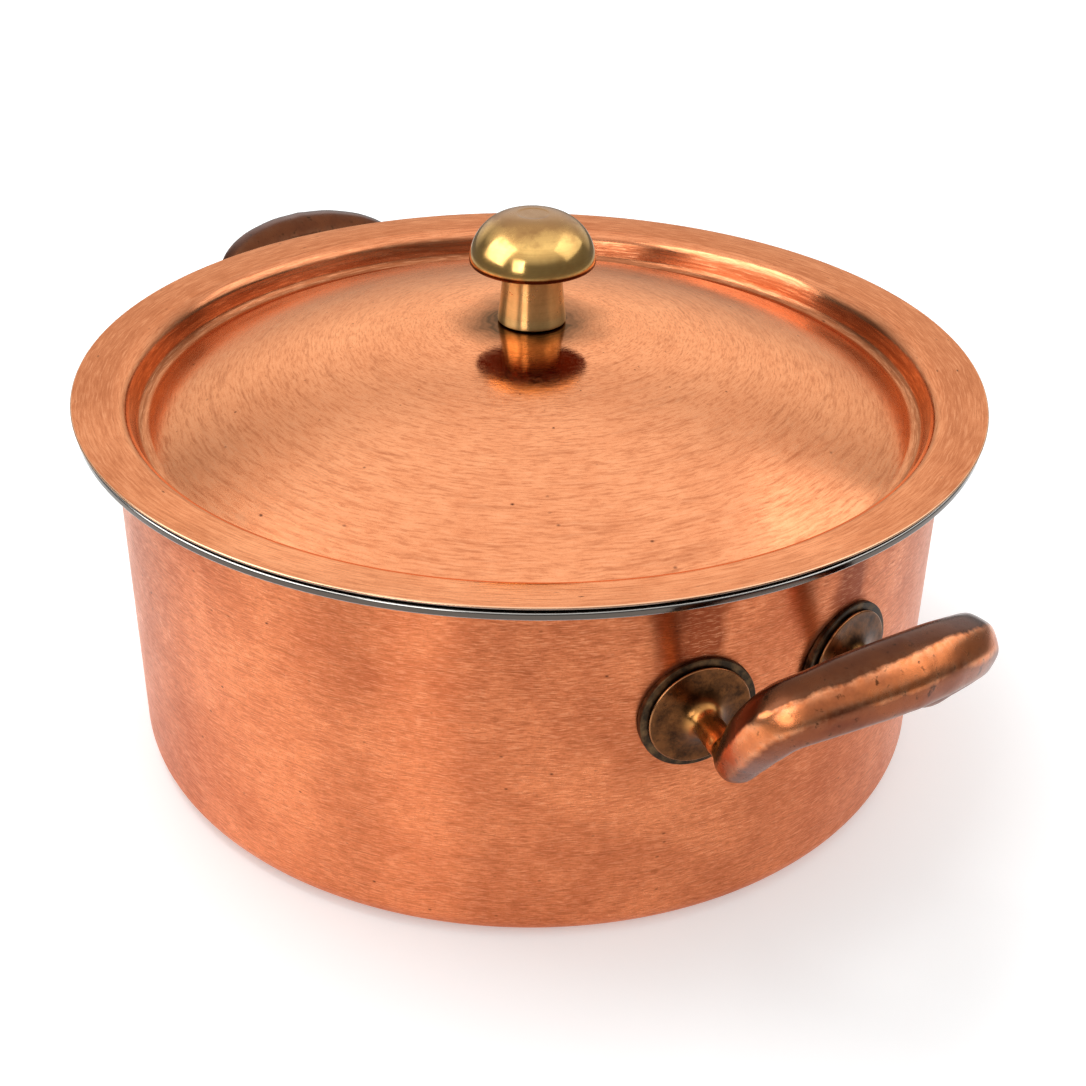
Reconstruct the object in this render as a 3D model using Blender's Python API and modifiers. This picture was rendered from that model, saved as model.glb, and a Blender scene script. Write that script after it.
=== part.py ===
"""Round copper casserole pot with a flanged lid, two cast loop handles and a mushroom knob.

Lengths are metres and +Z is up. The pot stands on z = 0 around the Z axis, and its handles
lie along +X and -X. The lid and its knob hang on one empty, so they lift off together.
"""
import math

import bmesh
import bpy
import numpy as np
from mathutils import Matrix, Vector

# Pot
INNER_RADIUS = 0.1200
RIM_HEIGHT = 0.11135
WALL_THICKNESS = 0.0020
BASE_THICKNESS = 0.0020
BASE_CORNER_RADIUS = 0.0070
LINING_THICKNESS = 0.0005
MOUTH_BEND_RADIUS = 0.0025
FLANGE_UNDER_RADIUS = 0.0016
FLANGE_THICKNESS = 0.0008
FLANGE_SLOPE_SHARE = 0.08
FLANGE_WIDTH = 0.0129
RIM_WRAP_THICKNESS = 0.0004
RIM_WRAP_WIDTH = 0.0018
SHEET_GAP = 0.0003

# Lid
LID_OVERHANG = 0.0006
LID_SHEET_THICKNESS = 0.0008
LID_LINING_THICKNESS = 0.00045
LID_SEAT_GAP = 0.0003
LID_DOME_RISE = 0.0143
LID_RECESS_DEPTH = 0.0111
LID_LAND_RADIUS = 0.0120
LID_RECESS_CLEARANCE = 0.0013
LID_RECESS_RUN = 0.0045
LID_BEND_RADIUS = 0.0030
LID_CREASE_RADIUS = 0.0012

# Knob
KNOB_CAP_RADIUS = 0.0183
KNOB_CAP_RISE = 0.0126
KNOB_CAP_LIP_RADIUS = 0.0019
KNOB_CAP_CREST_RADIUS = 0.0060
KNOB_CAP_HOLLOW_DEPTH = 0.0012
KNOB_STEM_HEIGHT = 0.0178
KNOB_STEM_TOP_RADIUS = 0.0084
KNOB_STEM_BASE_RADIUS = 0.0100
KNOB_STEM_COLLAR_HEIGHT = 0.0030
KNOB_SPIGOT_RADIUS = 0.0045
KNOB_SPIGOT_LENGTH = 0.0060
KNOB_EDGE_BEVEL = 0.0005
SCREW_RADIUS = 0.0025
SCREW_ENGAGEMENT = 0.0110
SCREW_HEAD_RADIUS = 0.0050
SCREW_HEAD_HEIGHT = 0.0026
SCREW_SLOT_WIDTH = 0.0012
SCREW_SLOT_DEPTH = 0.0012
SCREW_WASHER_RADIUS = 0.0080
SCREW_WASHER_THICKNESS = 0.0012
FIT_GAP = 0.0003

# Handles
HANDLE_HEIGHT = 0.0712
HANDLE_FOOT_SPACING = 0.0480
HANDLE_FOOT_RADIUS = 0.0140
HANDLE_FOOT_THICKNESS = 0.0009
HANDLE_FOOT_BEVEL = 0.0003
HANDLE_TRUMPET_HEIGHT = 0.0085
HANDLE_TRUMPET_POWER_SHARE = 2.6
HANDLE_NECK_RADIUS = 0.0038
HANDLE_NECK_REACH = 0.0205
HANDLE_GRIP_RADIUS = 0.0093
HANDLE_GRIP_REACH = 0.0410
HANDLE_GRIP_RISE = 0.0291
HANDLE_GRIP_HALF_SPAN = 0.0310
BACKING_RADIUS = 0.0160
BACKING_THICKNESS = 0.0012
BACKING_EDGE_RADIUS = 0.0003
RIVET_SHANK_RADIUS = 0.0022
RIVET_HEAD_RADIUS = 0.0048
RIVET_HEAD_HEIGHT = 0.0020
RIVET_TONGUE_LENGTH = 0.0035
RIVET_TIP_CHAMFER = 0.0004

# Facets: counts and how far every cutter runs past what it cuts
TURN_STEPS = 48
SMALL_TURN_STEPS = 24
RIVET_TURN_STEPS = 14
HANDLE_BEVEL_RESOLUTION = 5
CUT_OVERRUN = 0.0040
MERGE_DISTANCE = 0.00001
SHARP_ANGLE = math.radians(30)

# The grip's centre line from the neck's end to the middle of the grip, as shares of its
# extra reach, of its half span and of its rise, with the share of its swelling.
GRIP_PATH_SHARES = (
    (0.10, 0.970, 0.07, 0.09),
    (0.30, 0.985, 0.33, 0.38),
    (0.51, 1.000, 0.59, 0.62),
    (0.70, 0.910, 0.79, 0.75),
    (0.86, 0.690, 0.91, 0.86),
    (0.96, 0.350, 0.98, 0.96),
    (1.00, 0.000, 1.00, 1.00),
)
NECK_PATH_SHARES = (0.62, 0.82)
FOOT_TO_NECK_SHARES = (0.10, 0.26, 0.45, 0.65, 0.84, 1.0)
DOME_RADIUS_SHARES = (0.28, 0.53, 0.77)
STEM_FLARE_SHARES = ((0.25, 0.18), (0.55, 0.44), (0.80, 0.78), (1.0, 1.0))

# Sizes that follow from the ones above
COPPER_INNER_RADIUS = INNER_RADIUS + LINING_THICKNESS + SHEET_GAP
WALL_RADIUS = COPPER_INNER_RADIUS + WALL_THICKNESS
INNER_FACET_RADIUS = INNER_RADIUS * math.cos(math.pi / TURN_STEPS)
RIM_RADIUS = INNER_RADIUS + FLANGE_WIDTH
LID_RADIUS = RIM_RADIUS + LID_OVERHANG
LID_RECESS_RADIUS = INNER_RADIUS - LID_RECESS_CLEARANCE
LID_PANEL_RADIUS = LID_RECESS_RADIUS - LID_RECESS_RUN
LID_STACK = LID_SEAT_GAP + LID_LINING_THICKNESS + SHEET_GAP + LID_SHEET_THICKNESS
LID_EDGE_HEIGHT = RIM_HEIGHT + LID_OVERHANG * FLANGE_SLOPE_SHARE + LID_STACK
STUD_BORE_RADIUS = RIVET_SHANK_RADIUS + FIT_GAP
SCREW_HOLE_RADIUS = SCREW_RADIUS + FIT_GAP
FOOT_ANGLE = math.asin(HANDLE_FOOT_SPACING / 2 / WALL_RADIUS)
FOOT_STANDOFF = BACKING_THICKNESS + FIT_GAP
HANDLE_SIDES = {"right": 0.0, "left": math.pi}


def clear_scene():
    """Remove every object, so that the script can run again in the same file."""
    for obj in list(bpy.data.objects):
        bpy.data.objects.remove(obj, do_unlink=True)


def make_collection(name):
    collection = bpy.data.collections.new(name)
    bpy.context.scene.collection.children.link(collection)
    return collection


def make_material(name, colour, roughness, metallic=1.0):
    material = bpy.data.materials.new(name)
    material.use_nodes = True
    shader = material.node_tree.nodes["Principled BSDF"]
    shader.inputs["Base Color"].default_value = (*colour, 1.0)
    shader.inputs["Roughness"].default_value = roughness
    shader.inputs["Metallic"].default_value = metallic
    return material


def round_corners(corners, arc_points=4):
    """Replace each corner (r, z, fillet) of an open outline by an arc tangent to both sides."""
    points = []
    for index, (radius, height, fillet) in enumerate(corners):
        corner = np.array([radius, height])
        if not fillet:
            points.append(tuple(corner))
            continue
        back = np.array(corners[index - 1][:2]) - corner
        ahead = np.array(corners[index + 1][:2]) - corner
        back /= np.linalg.norm(back)
        ahead /= np.linalg.norm(ahead)
        half = math.acos(float(np.clip(back @ ahead, -1.0, 1.0))) / 2
        middle = (back + ahead) / np.linalg.norm(back + ahead)
        centre = corner + middle * fillet / math.sin(half)
        start = corner + back * fillet / math.tan(half) - centre
        end = corner + ahead * fillet / math.tan(half) - centre
        for share in np.linspace(0.0, 1.0, arc_points):
            spoke = start * (1 - share) + end * share
            points.append(tuple(centre + spoke * fillet / np.linalg.norm(spoke)))
    return points


def offset_outline(points, distance):
    """Move an open outline sideways by a distance, with mitred corners; positive is to its right."""
    path = np.array(points)
    along = np.diff(path, axis=0)
    along /= np.linalg.norm(along, axis=1)[:, None]
    sides = np.stack([along[:, 1], -along[:, 0]], axis=1)
    before = np.vstack([sides[:1], sides])
    after = np.vstack([sides, sides[-1:]])
    mitre = before + after
    mitre /= np.sum(mitre * before, axis=1)[:, None]
    return [tuple(point) for point in path + mitre * distance]


def add_object(name, data, collection, material=None, parent=None):
    obj = bpy.data.objects.new(name, data)
    collection.objects.link(obj)
    obj.parent = parent
    if material:
        data.materials.append(material)
    return obj


def add_empty(name, collection, location):
    empty = bpy.data.objects.new(name, None)
    empty.location = location
    collection.objects.link(empty)
    return empty


def shade(mesh):
    mesh.shade_smooth()
    mesh.set_sharp_from_angle(angle=SHARP_ANGLE)


def turn(name, outline, collection, material=None, parent=None, closed=False, steps=SMALL_TURN_STEPS):
    """Turn an outline of (radius, height) points about the local Z axis with a Screw modifier."""
    mesh = bpy.data.meshes.new(name)
    vertices = [(radius, 0.0, height) for radius, height in outline]
    edges = [(index, index + 1) for index in range(len(vertices) - 1)]
    if closed:
        edges.append((len(vertices) - 1, 0))
    mesh.from_pydata(vertices, edges, [])
    obj = add_object(name, mesh, collection, material, parent)
    screw = obj.modifiers.new("turn", "SCREW")
    screw.axis = "Z"
    screw.steps = steps
    screw.render_steps = steps
    screw.use_merge_vertices = True
    screw.merge_threshold = MERGE_DISTANCE
    screw.use_smooth_shade = True
    return obj


def subtract(obj, cutter):
    boolean = obj.modifiers.new(cutter.name, "BOOLEAN")
    boolean.operation = "DIFFERENCE"
    boolean.solver = "EXACT"
    boolean.object = cutter


def hide_cutter(cutter):
    cutter.hide_render = True
    cutter.display_type = "WIRE"
    return cutter


def cylinder_cutter(name, radius, length, segments, cutters):
    """A closed cylinder about its own Z axis, standing on its origin."""
    mesh = bpy.data.meshes.new(name)
    work = bmesh.new()
    bmesh.ops.create_cone(work, cap_ends=True, segments=segments, radius1=radius, radius2=radius,
                          depth=length, matrix=Matrix.Translation((0.0, 0.0, length / 2)))
    work.to_mesh(mesh)
    work.free()
    return hide_cutter(add_object(name, mesh, cutters))


def foot_matrix(side, sign):
    """Frame of a handle foot: origin on the wall's face, Z pointing straight out of the wall."""
    angle = HANDLE_SIDES[side] + sign * FOOT_ANGLE
    outward = Vector((math.cos(angle), math.sin(angle), 0.0))
    sideways = Vector((-math.sin(angle), math.cos(angle), 0.0))
    frame = Matrix((sideways, Vector((0.0, 0.0, 1.0)), outward)).transposed().to_4x4()
    frame.translation = outward * WALL_RADIUS + Vector((0.0, 0.0, HANDLE_HEIGHT))
    return frame


def foot_name(kind, side, sign):
    return f"{kind}_{side}_{'front' if sign < 0 else 'back'}"


def flange_height(radius, drop=0.0):
    """Height of the dished pot flange, whose slope the lid's flange shares."""
    return RIM_HEIGHT + (radius - RIM_RADIUS) * FLANGE_SLOPE_SHARE - drop


def build_pot_body(parts, material):
    """The copper pot: flat base, rounded corner, straight wall and a thin flange at the mouth."""
    top_drop = LINING_THICKNESS + SHEET_GAP
    edge = RIM_RADIUS - RIM_WRAP_THICKNESS - SHEET_GAP
    floor = BASE_THICKNESS
    outline = round_corners([
        (0.0, floor, 0.0),
        (COPPER_INNER_RADIUS, floor, BASE_CORNER_RADIUS - WALL_THICKNESS),
        (COPPER_INNER_RADIUS, flange_height(COPPER_INNER_RADIUS, top_drop), MOUTH_BEND_RADIUS - top_drop),
        (edge, flange_height(edge, top_drop), 0.0),
        (edge, flange_height(edge, top_drop + FLANGE_THICKNESS), 0.0),
        (WALL_RADIUS, flange_height(WALL_RADIUS, top_drop + FLANGE_THICKNESS), FLANGE_UNDER_RADIUS),
        (WALL_RADIUS, 0.0, BASE_CORNER_RADIUS),
        (0.0, 0.0, 0.0),
    ])
    return turn("pot_body", outline, parts, material, steps=TURN_STEPS)


def build_pot_lining(parts, material):
    """The thin steel lining, which follows the copper inside and is rolled round the flange's edge."""
    outer_radius = INNER_RADIUS + LINING_THICKNESS
    floor = BASE_THICKNESS + SHEET_GAP
    under = LINING_THICKNESS
    wrap_top = LINING_THICKNESS + SHEET_GAP + FLANGE_THICKNESS + SHEET_GAP
    wrap_inner = RIM_RADIUS - RIM_WRAP_WIDTH
    edge_inner = RIM_RADIUS - RIM_WRAP_THICKNESS
    inner_corner = BASE_CORNER_RADIUS - WALL_THICKNESS - SHEET_GAP
    outline = round_corners([
        (0.0, floor + LINING_THICKNESS, 0.0),
        (INNER_RADIUS, floor + LINING_THICKNESS, inner_corner - LINING_THICKNESS),
        (INNER_RADIUS, flange_height(INNER_RADIUS), MOUTH_BEND_RADIUS),
        (RIM_RADIUS, flange_height(RIM_RADIUS), LINING_THICKNESS),
        (RIM_RADIUS, flange_height(RIM_RADIUS, wrap_top + RIM_WRAP_THICKNESS), RIM_WRAP_THICKNESS),
        (wrap_inner, flange_height(wrap_inner, wrap_top + RIM_WRAP_THICKNESS), 0.0),
        (wrap_inner, flange_height(wrap_inner, wrap_top), 0.0),
        (edge_inner, flange_height(edge_inner, wrap_top), 0.0),
        (edge_inner, flange_height(edge_inner, under), 0.0),
        (outer_radius, flange_height(outer_radius, under), MOUTH_BEND_RADIUS - under),
        (outer_radius, floor, inner_corner),
        (0.0, floor, 0.0),
    ], arc_points=3)
    return turn("pot_lining", outline, parts, material, steps=TURN_STEPS)


def lid_top_outline():
    """Top face of the lid from the screw's hole to its edge, with z = 0 at the edge.

    Outside a flat land under the knob the dome is a paraboloid, which falls to the recess. The
    wall there climbs to the dished flange.
    """
    fall = LID_DOME_RISE + LID_RECESS_DEPTH
    dome = [(SCREW_HOLE_RADIUS, LID_DOME_RISE, 0.0), (LID_LAND_RADIUS, LID_DOME_RISE, 0.0)]
    for share in DOME_RADIUS_SHARES:
        radius = LID_LAND_RADIUS + (LID_PANEL_RADIUS - LID_LAND_RADIUS) * share
        dome.append((radius, LID_DOME_RISE - fall * share ** 2, 0.0))
    return round_corners([
        *dome,
        (LID_PANEL_RADIUS, -LID_RECESS_DEPTH, LID_CREASE_RADIUS),
        (LID_RECESS_RADIUS, (LID_RECESS_RADIUS - LID_RADIUS) * FLANGE_SLOPE_SHARE, LID_BEND_RADIUS),
        (LID_RADIUS, 0.0, 0.0),
    ])


def build_lid_sheet(name, top_drop, thickness, parts, material, parent):
    """One sheet of the lid: its top face moved down by a drop, and closed by a parallel face."""
    top = offset_outline(lid_top_outline(), top_drop)
    under = offset_outline(lid_top_outline(), top_drop + thickness)
    return turn(name, top + under[::-1], parts, material, parent, closed=True, steps=TURN_STEPS)


def build_knob_cap(parts, material, parent, stem_base):
    """The mushroom cap: a flattened dome with a round lip, hollowed beneath, with a blind socket."""
    lip_height = stem_base + KNOB_STEM_HEIGHT + KNOB_CAP_LIP_RADIUS
    under = lip_height - KNOB_CAP_LIP_RADIUS
    crest_height = lip_height + KNOB_CAP_RISE
    flat = KNOB_CAP_CREST_RADIUS
    outline = [(0.0, crest_height)]
    for share in np.linspace(0.0, 1.0, 9):
        angle = share * math.pi / 2
        outline.append((flat + (KNOB_CAP_RADIUS - flat) * math.sin(angle),
                        lip_height + KNOB_CAP_RISE * math.cos(angle)))
    for share in np.linspace(0.0, 1.0, 5)[1:]:
        angle = share * math.pi / 2
        outline.append((KNOB_CAP_RADIUS - KNOB_CAP_LIP_RADIUS * (1 - math.cos(angle)),
                        lip_height - KNOB_CAP_LIP_RADIUS * math.sin(angle)))
    hollow = under + KNOB_CAP_HOLLOW_DEPTH
    socket = KNOB_SPIGOT_RADIUS + FIT_GAP
    outline += [
        (KNOB_CAP_RADIUS - 2 * KNOB_CAP_LIP_RADIUS, hollow),
        (KNOB_STEM_TOP_RADIUS + KNOB_CAP_LIP_RADIUS, hollow),
        (KNOB_STEM_TOP_RADIUS, under + FIT_GAP),
        (socket, under + FIT_GAP),
        (socket, under + KNOB_SPIGOT_LENGTH + FIT_GAP),
        (0.0, under + KNOB_SPIGOT_LENGTH + FIT_GAP),
    ]
    return turn("knob_cap", outline, parts, material, parent)


def build_knob_stem(parts, material, parent, stem_base):
    """The turned stem: a collar at its foot, a waist that narrows upwards and a spigot for the cap."""
    top = stem_base + KNOB_STEM_HEIGHT
    collar = stem_base + KNOB_STEM_COLLAR_HEIGHT
    bore = SCREW_HOLE_RADIUS
    outline = [
        (0.0, top + KNOB_SPIGOT_LENGTH),
        (KNOB_SPIGOT_RADIUS - KNOB_EDGE_BEVEL, top + KNOB_SPIGOT_LENGTH),
        (KNOB_SPIGOT_RADIUS, top + KNOB_SPIGOT_LENGTH - KNOB_EDGE_BEVEL),
        (KNOB_SPIGOT_RADIUS, top),
        (KNOB_STEM_TOP_RADIUS - KNOB_EDGE_BEVEL, top),
        (KNOB_STEM_TOP_RADIUS, top - KNOB_EDGE_BEVEL),
    ]
    flare = KNOB_STEM_BASE_RADIUS - KNOB_STEM_TOP_RADIUS - KNOB_EDGE_BEVEL
    for fall_share, flare_share in STEM_FLARE_SHARES:
        outline.append((KNOB_STEM_TOP_RADIUS + flare * flare_share, top + (collar - top) * fall_share))
    outline += [
        (KNOB_STEM_BASE_RADIUS, collar - KNOB_EDGE_BEVEL),
        (KNOB_STEM_BASE_RADIUS, stem_base + KNOB_EDGE_BEVEL),
        (KNOB_STEM_BASE_RADIUS - KNOB_EDGE_BEVEL, stem_base),
        (bore, stem_base),
        (bore, stem_base + SCREW_ENGAGEMENT + FIT_GAP),
        (0.0, stem_base + SCREW_ENGAGEMENT + FIT_GAP),
    ]
    return turn("knob_stem", outline, parts, material, parent)


def build_knob_washer(parts, material, parent, washer_top):
    """Flat washer between the screw's head and the lid's lining."""
    bevel = KNOB_EDGE_BEVEL
    bottom = washer_top - SCREW_WASHER_THICKNESS
    outline = [
        (SCREW_HOLE_RADIUS, washer_top),
        (SCREW_WASHER_RADIUS - bevel, washer_top),
        (SCREW_WASHER_RADIUS, washer_top - bevel),
        (SCREW_WASHER_RADIUS, bottom),
        (SCREW_HOLE_RADIUS, bottom),
    ]
    return turn("knob_washer", outline, parts, material, parent, closed=True)


def build_knob_screw(parts, cutters, material, parent, head_top, tip):
    """The slotted screw that holds the knob from below, its head under the washer."""
    head_bottom = head_top - SCREW_HEAD_HEIGHT
    outline = [
        (0.0, tip),
        (SCREW_RADIUS - KNOB_EDGE_BEVEL, tip),
        (SCREW_RADIUS, tip - KNOB_EDGE_BEVEL),
        (SCREW_RADIUS, head_top),
        (SCREW_HEAD_RADIUS, head_top),
        (SCREW_HEAD_RADIUS, head_bottom + SCREW_HEAD_HEIGHT / 2),
        (SCREW_HEAD_RADIUS - 2 * KNOB_EDGE_BEVEL, head_bottom + KNOB_EDGE_BEVEL),
        (SCREW_HEAD_RADIUS / 2, head_bottom),
        (0.0, head_bottom),
    ]
    screw = turn("knob_screw", outline, parts, material, parent)
    mesh = bpy.data.meshes.new("cut_screw_slot")
    work = bmesh.new()
    bmesh.ops.create_cube(work, size=1.0)
    size = Vector((2 * (SCREW_HEAD_RADIUS + CUT_OVERRUN), SCREW_SLOT_WIDTH, CUT_OVERRUN + SCREW_SLOT_DEPTH))
    bmesh.ops.scale(work, vec=size, verts=work.verts)
    work.to_mesh(mesh)
    work.free()
    slot = hide_cutter(add_object("cut_screw_slot", mesh, cutters, parent=parent))
    slot.location = (0.0, 0.0, head_bottom + SCREW_SLOT_DEPTH - size.z / 2)
    subtract(screw, slot)
    return screw


def smooth_path(knots, steps=2):
    """Catmull-Rom curve through knots, rows of any width, with a few steps between them."""
    rows = np.array(knots, dtype=float)
    padded = np.vstack([2 * rows[0] - rows[1], rows, 2 * rows[-1] - rows[-2]])
    shares = np.linspace(0.0, 1.0, steps, endpoint=False)[:, None]
    pieces = []
    for index in range(len(rows) - 1):
        before, start, end, after = padded[index:index + 4]
        pieces.append(start + shares / 2 * (
            end - before
            + shares * (2 * before - 5 * start + 4 * end - after
                        + shares * (3 * (start - end) + after - before))))
    return np.vstack([*pieces, rows[-1:]])


def trumpet_rows():
    """Distance from the wall and radius down the foot: a thin disc that sweeps into the neck.

    The sweep is a superellipse quarter, flat near the rim of the disc and tight at the neck.
    """
    face = FOOT_STANDOFF + HANDLE_FOOT_THICKNESS
    rows = [
        (FOOT_STANDOFF, HANDLE_FOOT_RADIUS - HANDLE_FOOT_BEVEL),
        (FOOT_STANDOFF + HANDLE_FOOT_BEVEL, HANDLE_FOOT_RADIUS),
        (face - HANDLE_FOOT_BEVEL, HANDLE_FOOT_RADIUS),
        (face, HANDLE_FOOT_RADIUS - HANDLE_FOOT_BEVEL),
    ]
    start = HANDLE_FOOT_RADIUS - HANDLE_FOOT_BEVEL
    power = HANDLE_TRUMPET_POWER_SHARE
    for share in FOOT_TO_NECK_SHARES:
        inward = math.sin(share * math.pi / 2) ** (2 / power)
        upward = 1 - math.cos(share * math.pi / 2) ** (2 / power)
        rows.append((face + (HANDLE_TRUMPET_HEIGHT - face) * upward,
                     start - (start - HANDLE_NECK_RADIUS) * inward))
    return rows


def half_handle_rows():
    """Rows (x, y, z, radius) from the right handle's back foot to the middle of its grip."""
    frame = foot_matrix("right", 1)
    origin = frame.translation
    outward = frame.to_3x3().col[2]
    rows = [(*(origin + outward * reach), radius) for reach, radius in trumpet_rows()]
    neck_end = origin + outward * HANDLE_NECK_REACH
    knots = [(*(origin + outward * HANDLE_TRUMPET_HEIGHT), HANDLE_NECK_RADIUS)]
    for share in NECK_PATH_SHARES:
        knots.append((*(origin + outward * HANDLE_NECK_REACH * share), HANDLE_NECK_RADIUS))
    reach = WALL_RADIUS + HANDLE_GRIP_REACH - neck_end.x
    swelling = HANDLE_GRIP_RADIUS - HANDLE_NECK_RADIUS
    for reach_share, span_share, rise_share, swell_share in GRIP_PATH_SHARES:
        knots.append((neck_end.x + reach * reach_share, HANDLE_GRIP_HALF_SPAN * span_share,
                      HANDLE_HEIGHT + HANDLE_GRIP_RISE * rise_share,
                      HANDLE_NECK_RADIUS + swelling * swell_share))
    return np.vstack([rows, smooth_path(knots)[1:]])


def build_handle(side, parts, material):
    """One cast loop handle: two disc feet, thin necks and a grip that swells, rises and bows out."""
    half = half_handle_rows()
    rows = np.vstack([half, (half * (1, -1, 1, 1))[-2::-1]])
    curve = bpy.data.curves.new(f"handle_{side}", "CURVE")
    curve.dimensions = "3D"
    curve.fill_mode = "FULL"
    curve.twist_mode = "MINIMUM"
    curve.bevel_depth = HANDLE_NECK_RADIUS
    curve.bevel_resolution = HANDLE_BEVEL_RESOLUTION
    curve.use_fill_caps = True
    spline = curve.splines.new("POLY")
    spline.points.add(len(rows) - 1)
    for point, (x, y, z, radius) in zip(spline.points, rows):
        point.co = (x, y, z, 1.0)
        point.radius = radius / HANDLE_NECK_RADIUS
    source = bpy.data.objects.new(f"handle_{side}_curve", curve)
    parts.objects.link(source)
    source.rotation_euler.z = HANDLE_SIDES[side]
    bpy.context.view_layer.update()
    evaluated = source.evaluated_get(bpy.context.evaluated_depsgraph_get())
    mesh = bpy.data.meshes.new_from_object(evaluated)
    placement = source.matrix_world.copy()
    bpy.data.objects.remove(source, do_unlink=True)
    work = bmesh.new()
    work.from_mesh(mesh)
    bmesh.ops.remove_doubles(work, verts=work.verts, dist=MERGE_DISTANCE)
    bmesh.ops.recalc_face_normals(work, faces=work.faces)
    work.to_mesh(mesh)
    work.free()
    mesh.name = f"handle_{side}"
    shade(mesh)
    handle = add_object(f"handle_{side}", mesh, parts, material)
    handle.matrix_world = placement
    return handle


def build_backing(side, sign, parts, wall_cutter, material):
    """Backing disc under a handle foot: flat in front, and hollowed to sit on the round wall."""
    inside = -BACKING_RADIUS ** 2 / WALL_RADIUS
    outline = round_corners([
        (0.0, BACKING_THICKNESS, 0.0),
        (BACKING_RADIUS, BACKING_THICKNESS, BACKING_EDGE_RADIUS),
        (BACKING_RADIUS, inside, 0.0),
        (0.0, inside, 0.0),
    ], arc_points=3)
    backing = turn(foot_name("backing_disc", side, sign), outline, parts, material)
    backing.matrix_world = foot_matrix(side, sign)
    subtract(backing, wall_cutter)
    return backing


def build_rivet(side, sign, parts, material):
    """Rivet through lining, wall and backing disc into the foot, its round head inside the pot."""
    head_face = -(WALL_RADIUS - INNER_FACET_RADIUS) - FIT_GAP
    tip = FOOT_STANDOFF + RIVET_TONGUE_LENGTH
    outline = [
        (0.0, tip),
        (RIVET_SHANK_RADIUS - RIVET_TIP_CHAMFER, tip),
        (RIVET_SHANK_RADIUS, tip - RIVET_TIP_CHAMFER),
        (RIVET_SHANK_RADIUS, head_face),
        (RIVET_HEAD_RADIUS, head_face),
    ]
    for share in np.linspace(0.0, 1.0, 5):
        angle = share * math.pi / 2
        outline.append((RIVET_HEAD_RADIUS * math.cos(angle),
                        head_face - RIVET_TIP_CHAMFER - (RIVET_HEAD_HEIGHT - RIVET_TIP_CHAMFER) * math.sin(angle)))
    outline[-1] = (0.0, head_face - RIVET_HEAD_HEIGHT)
    rivet = turn(foot_name("rivet", side, sign), outline, parts, material, steps=RIVET_TURN_STEPS)
    rivet.matrix_world = foot_matrix(side, sign)
    return rivet


def build_pot(parts, cutters, materials):
    """Pot body, lining, both handles and what fastens them."""
    body = build_pot_body(parts, materials["copper"])
    lining = build_pot_lining(parts, materials["steel"])
    wall_cutter = cylinder_cutter("cut_wall", WALL_RADIUS + FIT_GAP, RIM_HEIGHT, TURN_STEPS, cutters)
    bore_start = -(WALL_RADIUS - INNER_RADIUS) - CUT_OVERRUN
    bore_end = FOOT_STANDOFF + RIVET_TONGUE_LENGTH + FIT_GAP
    for side in HANDLE_SIDES:
        handle = build_handle(side, parts, materials["bronze"])
        for sign in (-1, 1):
            backing = build_backing(side, sign, parts, wall_cutter, materials["dark_bronze"])
            build_rivet(side, sign, parts, materials["steel"])
            bore = cylinder_cutter(foot_name("cut_bore", side, sign), STUD_BORE_RADIUS,
                                   bore_end - bore_start, RIVET_TURN_STEPS, cutters)
            bore.matrix_world = foot_matrix(side, sign) @ Matrix.Translation((0.0, 0.0, bore_start))
            for piece in (body, lining, handle, backing):
                subtract(piece, bore)


def build_lid(parts, cutters, materials):
    """Lid and knob, all carried by one empty on the pot's axis at the height of the lid's edge."""
    lid = add_empty("lid_axis", parts, (0.0, 0.0, LID_EDGE_HEIGHT))
    lining_drop = LID_SHEET_THICKNESS + SHEET_GAP
    build_lid_sheet("lid_shell", 0.0, LID_SHEET_THICKNESS, parts, materials["copper"], lid)
    build_lid_sheet("lid_lining", lining_drop, LID_LINING_THICKNESS, parts, materials["steel"], lid)
    stem_base = LID_DOME_RISE + FIT_GAP
    washer_top = LID_DOME_RISE - lining_drop - LID_LINING_THICKNESS - FIT_GAP
    head_top = washer_top - SCREW_WASHER_THICKNESS - FIT_GAP
    build_knob_cap(parts, materials["brass"], lid, stem_base)
    build_knob_stem(parts, materials["brass"], lid, stem_base)
    build_knob_washer(parts, materials["steel"], lid, washer_top)
    build_knob_screw(parts, cutters, materials["steel"], lid, head_top, stem_base + SCREW_ENGAGEMENT)


def main():
    clear_scene()
    parts = make_collection("casserole_pot")
    cutters = make_collection("cutters")
    materials = {
        "copper": make_material("brushed_copper", (0.80, 0.36, 0.18), 0.30),
        "steel": make_material("brushed_steel", (0.60, 0.58, 0.55), 0.28),
        "brass": make_material("polished_brass", (0.80, 0.56, 0.22), 0.16),
        "bronze": make_material("cast_bronze", (0.42, 0.17, 0.09), 0.34),
        "dark_bronze": make_material("oxidised_bronze", (0.10, 0.07, 0.05), 0.45),
    }
    build_pot(parts, cutters, materials)
    build_lid(parts, cutters, materials)
    bpy.context.view_layer.update()


main()
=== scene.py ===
"""Looks of a round copper casserole pot with a flanged lid, a mushroom knob and two loop handles.

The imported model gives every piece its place. Here each piece gets a fine surface, worked out on a
grid, and a finish. Lengths are metres and +Z is up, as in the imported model.
"""

import logging
import math
from dataclasses import dataclass, field
from enum import Enum

import bpy
import numpy as np
from mathutils import Matrix, Vector


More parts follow.
